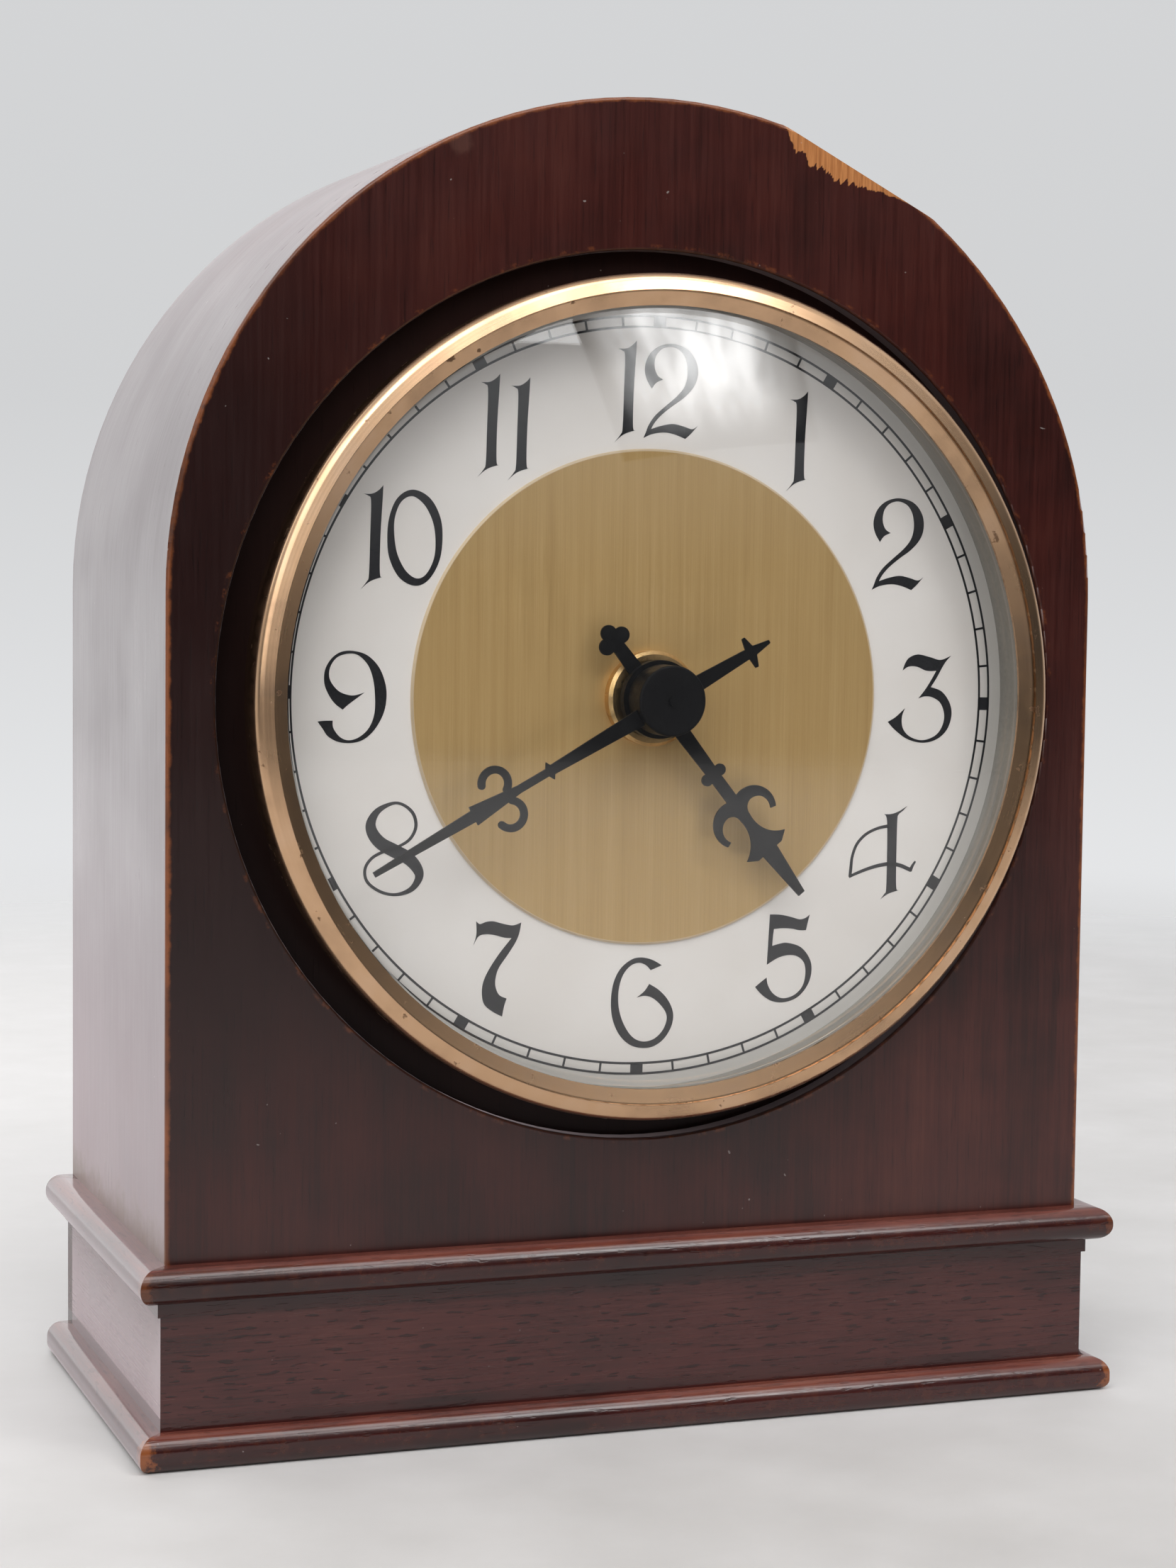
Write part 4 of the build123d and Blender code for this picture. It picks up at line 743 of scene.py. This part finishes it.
def clear_glass():
    """Clear glass that lets the lamps through to the dial, with faint smears of dust."""
    g = Surface("lens_glass")
    smear = g.noise(dust_scale, detail=4.0, rough=0.6)
    g.shade(Base_Color=glass_tone, IOR=glass_index, Transmission_Weight=1.0)
    g.shade(Roughness=g.step(smear, *dust_rise, 0.0, dust_rough), Normal=domed_normal(g))
    rays = g.node("ShaderNodeLightPath").outputs
    g.clear(g.either(rays["Is Shadow Ray"], rays["Is Diffuse Ray"]), glass_passes)
    return g.material


def dress(material, *names):
    """Gives a material to CAD nodes."""
    for name in names:
        slots = nodes[name].data.materials
        slots.clear()
        slots.append(material)


# Wooden pieces
dress(case_wood(), "front_panel", "hood")
dress(base_wood("mahogany_plinth", seed=11.0, tint=(1.55, 2.1, 2.3), rough=0.22, pore_share=0.9, bloom=1.0),
      "plinth_front", "plinth_left", "plinth_right", "plinth_back")
dress(base_wood("mahogany_moulding", seed=23.0, tint=(1.0, 1.0, 1.05), rough=0.13, pore_share=0.4, bloom=0.45,
                wear=True), "upper_moulding", "lower_moulding")
dress(plain_wood("door_board", dark=(0.030, 0.011, 0.007), middle=(0.060, 0.022, 0.013),
                 light=(0.105, 0.042, 0.024), rough=0.42, scale=1.0), "back_door")
dress(plain_wood("raw_wood", dark=(0.34, 0.20, 0.095), middle=(0.48, 0.30, 0.155), light=(0.60, 0.41, 0.235),
                 rough=0.62, scale=0.6), "plinth_blocks", "case_blocks")

# Bezel, glass, dial and hands
dress(bezel_brass(), "bezel")
dress(clear_glass(), "lens")
dress(dial_white(), "dial")
dress(dial_gold(), "dial_centre")
dress(speckled("dial_edge", dark=(0.18, 0.168, 0.148), light=(0.26, 0.243, 0.215), rough=0.38, scale=1.6,
               relief=0.004), "dial_ring", "dial_retainer")
dress(speckled("hand_black", dark=(0.003, 0.003, 0.0035), light=(0.007, 0.007, 0.008), rough=0.42, scale=1.9,
               relief=0.003, gloss=0.12, flat=True), "minute_hand", "hour_hand", "hand_cap")

# Fittings
dress(drawn_metal("fitting_brass", dark=(0.52, 0.33, 0.13), light=(0.76, 0.53, 0.27), rough=0.22,
                  stretch=(2.6, 2.6, 0.5)),
      "bush_nut", "threaded_bush", "centre_arbor", "hinge_case_leaves", "hinge_door_leaves", "hinge_pins",
      "hinge_case_screws", "hinge_door_screws", "door_knob")
dress(drawn_metal("zinc_steel", dark=(0.42, 0.42, 0.43), light=(0.62, 0.62, 0.61), rough=0.26,
                  stretch=(0.4, 3.0, 3.0)),
      "base_screws", "case_screws", "clamp_ring", "strike_plate", "stator", "coil_core", "crystal_can",
      "plus_contact", "minus_contact")
dress(speckled("washer_rubber", dark=(0.014, 0.014, 0.014), light=(0.026, 0.025, 0.025), rough=0.7, scale=3.0,
               relief=0.01), "bush_washer")

# Movement
dress(speckled("movement_black", dark=(0.011, 0.011, 0.012), light=(0.020, 0.020, 0.021), rough=0.42,
               scale=2.6, relief=0.012), "movement_front", "movement_back", "setting_knob", "catch_magnet")
dress(speckled("gear_plastic", dark=(0.66, 0.65, 0.60), light=(0.76, 0.75, 0.71), rough=0.34, scale=2.2,
               relief=0.004),
      "minute_wheel", "hour_wheel", "centre_wheel", "third_wheel", "fourth_wheel", "train_plate")
dress(speckled("magnet_grey", dark=(0.09, 0.09, 0.095), light=(0.17, 0.17, 0.175), rough=0.45, scale=3.5,
               relief=0.01, metallic=0.7), "rotor")
dress(copper_wire(), "coil_winding")
dress(speckled("bobbin_plastic", dark=(0.60, 0.58, 0.52), light=(0.70, 0.68, 0.62), rough=0.36, scale=2.0,
               relief=0.004), "coil_bobbin")
dress(speckled("circuit_brown", dark=(0.13, 0.062, 0.022), light=(0.20, 0.105, 0.042), rough=0.4, scale=2.4,
               relief=0.006), "circuit_board")
dress(speckled("resin_black", dark=(0.008, 0.008, 0.008), light=(0.015, 0.015, 0.015), rough=0.16, scale=1.2,
               relief=0.01), "driver_chip")
dress(cell_jacket(), "battery")


# Dial print: outlines of digits about their own centres, as runs from corner to corner, strokes of
# changing width, and the digits' places from the dial's middle
digit_outlines = {
    "1": [
        [(-1.9, 6.3), (-1.2, 6), (-0.8, 5.2), (-0.9, 0), (-1.05, -5.4), (-1.4, -6.5)],
        [(-2.3, -7.6), (-1.2, -6.65), (-0.2, -6.15)],
        [(1, -5.8), (0.6, -5.2), (0.65, 0), (0.95, 5.5)],
        [(1.05, 7.6), (0.4, 6.9), (-0.6, 6.35)],
    ],
    "2": [
        [(-1.3, 1.7), (-2.2, 2.3), (-2.7, 3.6), (-2.45, 5.2), (-1.5, 6.25), (0, 6.6), (1.5, 6), (2.4, 4.6),
         (2.65, 2.6), (2.2, 0.8), (1, -0.7), (-0.9, -2.3), (-2.5, -3.7), (-3.5, -5.1), (-3.95, -6.2)],
        [(-4.35, -7.1), (-3, -6.5), (-1, -6.2), (0.8, -6.5)],
        [(2.4, -7.1), (3.3, -6.3)],
        [(4.4, -5.1), (3.5, -5.6), (2, -5.2), (0.3, -4.9), (-1.6, -5.25)],
        [(-3.15, -5.75), (-2.6, -4.8), (-1.5, -3.6), (0.3, -2.2), (2.3, -0.8), (3.8, 0.9), (4.35, 2.8),
         (3.95, 4.8), (2.5, 6.45), (0.1, 7.1), (-2.1, 6.6), (-3.6, 5.3), (-4.25, 3.4), (-3.95, 1.7)],
        [(-3.1, 0.3), (-2.4, 1.2)],
    ],
    "3": [
        [(-3.1, 4.4), (-2.7, 5.5), (-2, 6.4), (-0.5, 6.9), (1.5, 6.5), (3.4, 6.05)],
        [(5.2, 6.7), (4.1, 5.5), (2.8, 3.3)],
        [(1.8, 1.8), (3.7, 1.1), (5.1, -0.7), (5.45, -2.7), (4.7, -4.9), (2.9, -6.4), (0.5, -6.9),
         (-2.1, -6.3), (-4.2, -4.9)],
        [(-5.5, -3.6), (-4.1, -2.8)],
        [(-2.6, -1.5), (-3.1, -2.9), (-2.9, -4.6), (-1.7, -5.9), (0.5, -6.5), (2.7, -5.8), (3.9, -4.3),
         (4.2, -2.5), (3.5, -0.7), (2.1, 0.2), (0.8, 0.35)],
        [(-0.3, 0.05), (0.9, 1.5), (1.9, 3)],
        [(2.7, 4.35), (1, 4.35), (-0.7, 5), (-2.1, 5)],
    ],
    "4": [
        [(0.2, 6), (1.4, 6), (2.7, 6.4)],
        [(4.1, 7.2), (3.4, 6.5), (2.65, 5.9), (2.45, 4.9), (2.4, 0.3), (2.45, -5.3)],
        [(2.9, -6), (1.7, -6.3), (0.8, -6.65)],
        [(-0.2, -7.3), (0.45, -6.5), (0.75, -5.7), (0.8, -0.7), (0.7, 4.9)],
    ],
    "5": [
        [(-2.5, 6.9), (-0.7, 6.8), (1.1, 6.4), (2.5, 6), (3.5, 6.2)],
        [(4.2, 6.7), (3.9, 5.6)],
        [(3.6, 4.3), (2.5, 4.3), (1.1, 4.6), (-0.5, 4.7)],
        [(-1.8, 4.6), (-1.95, 3.4)],
        [(-2.05, 2), (-0.8, 2.3), (0.5, 2.4), (2.7, 1.7), (4.2, 0), (4.65, -1.9), (4.1, -4.1), (2.5, -6),
         (0.3, -6.8), (-1.9, -6.6), (-3.7, -5.5)],
        [(-4.8, -4.3), (-3.9, -3.6)],
        [(-2.9, -2.9), (-2.7, -4), (-1.8, -5.4), (-0.2, -6.2), (1.7, -5.8), (3.1, -4.5), (3.6, -2.7),
         (3.4, -0.9), (2.3, 0.2), (0.7, 0.5), (-1.1, 0.1)],
        [(-2.9, -0.9), (-2.75, 1.9), (-2.6, 4.9)],
    ],
    "6": [
        [(3.1, 5.6), (2.2, 5.25)],
        [(1.3, 4.9), (0.5, 5.7), (-0.7, 6.1), (-2.1, 5.6), (-3.3, 4.1), (-3.9, 1.8), (-3.8, -0.8), (-3, -3.2),
         (-1.6, -5.2), (0.1, -6), (1.9, -5.7), (3.3, -4.5), (4, -2.9), (3.8, -1.6), (2.7, -0.2), (1.5, 0.7),
         (0.3, 1)],
        [(-0.9, 0.8), (0.3, 1.7)],
        [(1.1, 2.8), (2.7, 1.8), (4.2, 0.2), (5.05, -1.8), (4.8, -3.8), (3.6, -5.7), (1.9, -6.8), (0, -7),
         (-2, -6.4), (-3.7, -4.8), (-4.8, -2.4), (-5.1, 0.4), (-4.7, 3.2), (-3.6, 5.3), (-1.9, 6.6),
         (-0.3, 6.9), (1.5, 6.5)],
    ],
    "7": [
        [(-3.3, 7.3), (-2.7, 6.85), (-1.7, 7.15), (-0.6, 7.2), (0.9, 6.8), (2.5, 6.5)],
        [(3.8, 6.9), (3.5, 5.3), (2.9, 3.9), (1.7, 2.1), (0.4, 0.3), (-0.1, -1), (-0.2, -2.5), (0.4, -3.9)],
        [(1.6, -4.5), (1.2, -5.7)],
        [(0.9, -7.2), (-0.6, -6.4), (-1.9, -5.3), (-2.3, -3.7), (-2.1, -1.9), (-1.2, 0), (0.3, 2.2),
         (1.7, 3.9)],
        [(2.3, 4.6), (1.1, 4.7), (-0.3, 5.1), (-1.7, 5.3), (-2.9, 5)],
        [(-3.7, 3.7), (-3.25, 5.3)],
    ],
    "9": [
        [(-5.3, -3.5), (-4.1, -3.4)],
        [(-3, -3.4), (-2.9, -4.5), (-1.9, -5.8), (-0.5, -6.3), (1.1, -5.8), (2.5, -4.5), (3.3, -2.5),
         (3.4, 0), (3.1, 2.6), (2.3, 4.7), (0.9, 6.1), (-0.6, 6.4), (-2.3, 5.9), (-3.3, 4.7), (-3.6, 3.3),
         (-3.2, 2.1), (-2.1, 0.9), (-0.7, 0.35), (0.4, 0.3)],
        [(1.8, 0.7), (0.4, -0.3), (-0.7, -1.1)],
        [(-1.5, -1.8), (-2.7, -0.9), (-3.7, 0.5), (-4.3, 2.1), (-4.2, 4), (-3.3, 5.6), (-1.9, 6.6),
         (-0.1, 6.8), (2.1, 6.2), (3.9, 4.5), (4.9, 2.2), (5.15, 0), (4.7, -2.4), (3.4, -4.7), (1.7, -6.2),
         (-0.2, -6.7), (-2.2, -6.5), (-3.7, -5.7), (-4.5, -4.6)],
    ],
}
digit_strokes = {
    "0": (True, [
        [(-0.4, 6.55, 0.95), (1.8, 5.4, 1.3), (3.25, 2.9, 1.3), (3.7, 0.1, 1.1), (3.4, -3.1, 0.9),
         (2, -5.7, 0.85), (0.2, -6.5, 1.1), (-1.8, -5.4, 1.4), (-3.2, -2.9, 1.35), (-3.65, -0.1, 1.1),
         (-3.5, 2.9, 0.85), (-2.4, 5.5, 0.8)],
    ]),
    "8": (True, [
        [(-0.1, 6.85, 0.45), (-2.4, 5.8, 0.9), (-3.5, 4, 1.45), (-3.2, 2.4, 1.75), (-1.9, 0.9, 1.9),
         (0.1, -0.2, 2), (2.3, -1.4, 1.9), (3.7, -3, 1.6), (3.9, -4.4, 1.2), (2.7, -6, 0.8),
         (0.4, -6.7, 0.45), (-2, -6.2, 0.45), (-4, -4.7, 0.45), (-4.35, -2.8, 0.45), (-3.3, -1.2, 0.45),
         (-1.3, -0.2, 0.45), (0.7, 0.4, 0.42), (2.5, 1.5, 0.45), (3.4, 3.3, 0.5), (3, 5.2, 0.5),
         (1.6, 6.5, 0.45)],
    ]),
    "4": (False, [
        [(1.1, 4.15, 0.55), (-0.9, 3.8, 0.45), (-2.9, 2.9, 0.45), (-4.4, 1.4, 0.45), (-5.15, -0.5, 0.45),
         (-5.35, -2.2, 0.5), (-5.5, -3.7, 0.5)],
        [(-5.65, -3.7, 0.4), (-4.5, -3.2, 0.45), (-2.5, -2.5, 0.5), (-0.5, -2, 0.55), (1.5, -1.8, 0.6),
         (3.1, -2.1, 0.6), (4.2, -2.55, 0.6), (5, -2.9, 0.6)],
        [(4.8, -3, 0.6), (5.2, -2.2, 0.45), (5.7, -1.5, 0.3)],
    ]),
}
numerals = [
    ("1", -3.6, 46.0), ("2", 3.05, 46.2), ("1", 24.5, 39.2), ("2", 41.2, 23.7), ("3", 45.5, -0.3),
    ("4", 39.5, -24.3), ("5", 23.1, -40.4), ("6", -0.3, -46.4), ("7", -23.7, -40.5), ("8", -39.9, -22.2),
    ("9", -46.3, 0.3), ("1", -42.9, 23.7), ("0", -37.0, 23.7), ("1", -25.1, 40.4), ("1", -20.4, 40.0),
]

# Print over and in the dial's front, and steps between the points of a curve
print_height = 0.04
print_sink = 0.01
curve_steps = 6

# Minute track: two rings with a mark for each minute and a broad one for each fifth
track_inner = 55.7
track_outer = 57.3
track_line = 0.34
track_segments = 240
track_turn = math.radians(1.15)
block_width = 2.0
block_every = 5
minutes = 60


def curve_point(before, start, end, after, share):
    """A point on the smooth curve from start to end, by its neighbours."""
    return tuple(0.5 * (2 * b + (c - a) * share + (2 * a - 5 * b + 4 * c - d) * share ** 2
                        + (3 * b - a - 3 * c + d) * share ** 3)
                 for a, b, c, d in zip(before, start, end, after))


def smooth(points, closed=False):
    """Points along the smooth curve through the given ones; an open curve keeps its last point."""
    count = len(points)
    spans = count if closed else count - 1
    found = []
    for i in range(spans):
        places = range(i - 1, i + 3)
        four = [points[p % count if closed else min(max(p, 0), count - 1)] for p in places]
        found += [curve_point(*four, step / curve_steps) for step in range(curve_steps)]
    return found if closed else found + [points[-1]]


def outline_points(runs):
    """A closed outline from its runs, each ending where the next begins."""
    found = []
    for run, following in zip(runs, runs[1:] + runs[:1]):
        found += smooth(run + following[:1])[:-1]
    return found


def stroke_sides(points, closed):
    """Left and right edge of a stroke of changing width."""
    line = smooth(points, closed)
    left = []
    right = []
    for i, (x, z, width) in enumerate(line):
        ahead = line[(i + 1) % len(line)] if closed else line[min(i + 1, len(line) - 1)]
        behind = line[i - 1] if closed else line[max(i - 1, 0)]
        run_x = ahead[0] - behind[0]
        run_z = ahead[1] - behind[1]
        run = math.hypot(run_x, run_z)
        off_x = -run_z / run * width / 2
        off_z = run_x / run * width / 2
        left.append((x + off_x, z + off_z))
        right.append((x - off_x, z - off_z))
    return left, right


def add(name, data):
    """A new object in the scene."""
    made = bpy.data.objects.new(name, data)
    bpy.context.scene.collection.objects.link(made)
    return made


class Sheet:
    """A thin raised print on the dial's front, gathered as closed plates in one mesh."""

    def __init__(self):
        self.mesh = bmesh.new()

    def corner(self, point, height):
        """A corner of the print, that high above the dial's front."""
        x, z = point
        return self.mesh.verts.new((x * MM, (dial_front - height) * MM, (dial_height + z) * MM))

    def plate(self, points):
        """A closed plate with the given outline."""
        area = sum(a[0] * b[1] - b[0] * a[1] for a, b in zip(points, points[1:] + points[:1]))
        ordered = points if area > 0 else points[::-1]
        top = [self.corner(point, print_height) for point in ordered]
        foot = [self.corner(point, -print_sink) for point in ordered]
        self.mesh.faces.new(top)
        self.mesh.faces.new(foot[::-1])
        for i in range(len(top)):
            j = (i + 1) % len(top)
            self.mesh.faces.new((top[i], foot[i], foot[j], top[j]))

    def band(self, left, right, closed):
        """A closed plate between two edges, in short quads."""
        rows = [[self.corner(a, print_height), self.corner(b, print_height), self.corner(b, -print_sink),
                 self.corner(a, -print_sink)] for a, b in zip(left, right)]
        for i in range(len(rows) if closed else len(rows) - 1):
            row = rows[i]
            following = rows[(i + 1) % len(rows)]
            for k in range(len(row)):
                m = (k + 1) % len(row)
                self.mesh.faces.new((row[k], following[k], following[m], row[m]))
        if not closed:
            self.mesh.faces.new(rows[0])
            self.mesh.faces.new(rows[-1][::-1])

    def make(self, name, material):
        """The print as a piece that rides on the case."""
        bmesh.ops.recalc_face_normals(self.mesh, faces=self.mesh.faces)
        data = bpy.data.meshes.new(name)
        self.mesh.to_mesh(data)
        self.mesh.free()
        data.materials.append(material)
        piece = add(name, data)
        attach(piece, "case")


def ring_points(radius):
    """Points round the dial's middle."""
    turns = [2 * math.pi * i / track_segments for i in range(track_segments)]
    return [(radius * math.sin(turn), radius * math.cos(turn)) for turn in turns]


def mark_points(turn, half):
    """Corners of a mark across the track."""
    sine = math.sin(turn)
    cosine = math.cos(turn)
    corners = ((track_inner, -half), (track_outer, -half), (track_outer, half), (track_inner, half))
    return [(sine * reach + cosine * aside, cosine * reach - sine * aside) for reach, aside in corners]


def print_numerals(ink):
    """The numerals, one piece for each digit."""
    for index, (digit, x, z) in enumerate(numerals):
        sheet = Sheet()
        if digit in digit_outlines:
            sheet.plate([(x + a, z + b) for a, b in outline_points(digit_outlines[digit])])
        closed, strokes = digit_strokes.get(digit, (False, []))
        for stroke in strokes:
            points = [(x + a, z + b, width) for a, b, width in stroke]
            sheet.band(*stroke_sides(points, closed), closed)
        sheet.make(f"numeral_{index:02d}_{digit}", ink)


def print_track(ink):
    """The minute track, as one piece."""
    track = Sheet()
    for radius in (track_inner, track_outer):
        track.band(ring_points(radius - track_line / 2), ring_points(radius + track_line / 2), True)
    for minute in range(minutes):
        width = block_width if minute % block_every == 0 else track_line
        track.plate(mark_points(track_turn + 2 * math.pi * minute / minutes, width / 2))
    track.make("minute_track", ink)


dial_ink = speckled("dial_print", dark=(0.010, 0.010, 0.012), light=(0.022, 0.022, 0.025), rough=0.42,
                    scale=2.4, relief=0.002, gloss=0.15)
print_numerals(dial_ink)
print_track(dial_ink)


# Camera, fitted to the photograph, with its clipping in metres
camera_place = (-171.83, -477.73, 133.10)
camera_azimuth = math.radians(20.008)
camera_pitch = math.radians(-4.143)
camera_roll = math.radians(0.674)
camera_lens = 72.31
camera_sensor = 36.0
clip_start = 0.01
clip_end = 50.0


def stand_camera():
    """The photograph's camera."""
    level_share = math.cos(camera_pitch)
    ahead = Vector((math.sin(camera_azimuth) * level_share, math.cos(camera_azimuth) * level_share,
                    math.sin(camera_pitch)))
    level = ahead.cross(Vector((0, 0, 1))).normalized()
    upward = level.cross(ahead)
    right = level * math.cos(camera_roll) + upward * math.sin(camera_roll)
    above = upward * math.cos(camera_roll) - level * math.sin(camera_roll)
    data = bpy.data.cameras.new("camera")
    data.lens = camera_lens
    data.sensor_width = camera_sensor
    data.clip_start = clip_start
    data.clip_end = clip_end
    camera = add("camera", data)
    turn = Matrix((right, above, -ahead)).transposed().to_4x4()
    camera.matrix_world = Matrix.Translation(Vector(camera_place) * MM) @ turn
    bpy.context.scene.camera = camera


def rectangle(name, left, low, right, high):
    """A flat rectangle in its own x and y, in metres."""
    mesh = bpy.data.meshes.new(name)
    corners = [(left, low, 0), (right, low, 0), (right, high, 0), (left, high, 0)]
    mesh.from_pydata(corners, [], [(0, 1, 2, 3)])
    return add(name, mesh)


def aim(thing, place, target):
    """Stands a lamp or window at its place, turned to its target and hidden from the camera."""
    thing.location = Vector(place) * MM
    thing.rotation_mode = "QUATERNION"
    thing.rotation_quaternion = (Vector(target) - Vector(place)).to_track_quat("-Z", "Y")
    thing.visible_camera = False


# Pale table: its edges in metres, its tones, its darker part near the camera, and where it fades
table_front = -1.0
table_back = 6.0
table_half = 5.0
table_dark = (0.66, 0.645, 0.635)
table_light = (0.74, 0.725, 0.72)
near_tint = (0.78, 0.775, 0.77)
near_lean = 0.4
near_rise = (60.0, -140.0)
near_share = 0.8
fade_rise = (380.0, 900.0)


def lay_table():
    """A pale mottled table that fades into the studio."""
    table = rectangle("table", -table_half, table_front, table_half, table_back)
    g = Surface("table_pale")
    mottle = g.noise(0.03, detail=5.0, rough=0.6)
    pale = g.ramp(mottle, (0.3, table_dark), (0.7, table_light))
    near = g.step(g.plus(g.y, g.times(g.x, near_lean)), *near_rise, 0.0, near_share)
    g.shade(Base_Color=g.mix(near, pale, g.tint(pale, near_tint)))
    g.roughen(mottle, 0.55, 0.7)
    g.clear(g.step(g.radius(g.x, g.y), *fade_rise), (1.0, 1.0, 1.0, 1.0))
    table.data.materials.append(g.material)


# Studio behind the clock and on the camera's side: height, from 0 straight down to 1 straight up, and grey
sky_behind = ((0.0, 0.74), (0.40, 0.77), (0.455, 0.80), (0.49, 0.72), (0.525, 0.655), (0.58, 0.67),
              (1.0, 0.75))
sky_before = ((0.0, 0.18), (0.50, 0.05), (0.60, 0.08), (0.69, 0.40), (0.80, 0.9), (1.0, 0.75))
sky_tint = (0.975, 0.985, 1.0)
sky_turn = (-0.30, 0.30)
diffuse_share = 0.5


def light_studio():
    """A soft studio round the table, dimmed for diffuse light."""
    world = bpy.data.worlds.new("studio")
    bpy.context.scene.world = world
    world.use_nodes = True
    g = Graph(world.node_tree)
    way = g.split(g.node("ShaderNodeTexCoord").outputs["Generated"])
    height = g.rise(way["Z"], -1.0, 1.0)
    halves = []
    for sky in (sky_before, sky_behind):
        stops = [(place, [grey * share for share in sky_tint]) for place, grey in sky]
        halves.append(g.ramp(height, *stops))
    rays = g.node("ShaderNodeLightPath").outputs
    seen = g.either(rays["Is Camera Ray"], rays["Is Glossy Ray"], rays["Is Transmission Ray"])
    background = world.node_tree.nodes["Background"].inputs
    g.feed(background["Color"], g.mix(g.step(way["Y"], *sky_turn), *halves))
    g.feed(background["Strength"], g.rise(seen, 0.0, 1.0, diffuse_share, 1.0))


# Soft lamps: place and target, width and height in metres, and the brightness of the panel
lamps = {
    "panel_behind": ((-300, 1100, 330), (-60, 0, 120), 1.5, 1.0, 0.9),
    "left_floor": ((-450, 360, 420), (-280, 300, 0), 0.5, 0.5, 1.5),
    "left_front": ((-1000, -900, 760), (0, 0, 100), 1.3, 1.3, 1.75),
    "key_above": ((-20, -780, 1330), (0, 0, 110), 1.5, 1.0, 3.6),
}


def hang_lamps():
    """The soft lamps, as lit rectangles."""
    for name, (place, target, width, height, brightness) in lamps.items():
        lamp = bpy.data.lights.new(name, "AREA")
        lamp.shape = "RECTANGLE"
        lamp.size = width
        lamp.size_y = height
        lamp.energy = brightness * math.pi * width * height
        aim(add(name, lamp), place, target)


# Window at the front right that shows in the glass: half sizes in metres, soft edges as shares of them
window_place = (500, -930, 960)
window_target = (0, 0, 120)
window_half = (0.30, 0.34)
glow_level = 8.5
glow_edge = (1.0, 0.25)
glow_scale = (0.010, 0.004, 1.0)
glow_rise = (0.25, 0.7)
glow_range = (0.35, 1.3)


def hang_window():
    """The window, clouded and soft at its edges."""
    wide, tall = window_half
    window = rectangle("window_right", -wide, -tall, wide, tall)
    aim(window, window_place, window_target)
    g = Surface("window_glow")
    across = g.math("DIVIDE", g.size(g.x), wide / MM)
    upright = g.math("DIVIDE", g.size(g.y), tall / MM)
    cloud = g.step(g.noise(glow_scale, rough=0.6), *glow_rise, *glow_range)
    glow = g.both(g.step(across, *glow_edge), g.step(upright, *glow_edge), cloud)
    g.show(g.node("ShaderNodeEmission", {"Strength": g.times(glow, glow_level)}))
    window.data.materials.append(g.material)


stand_camera()
lay_table()
light_studio()
hang_lamps()
hang_window()

bpy.context.scene.view_settings.view_transform = "Standard"
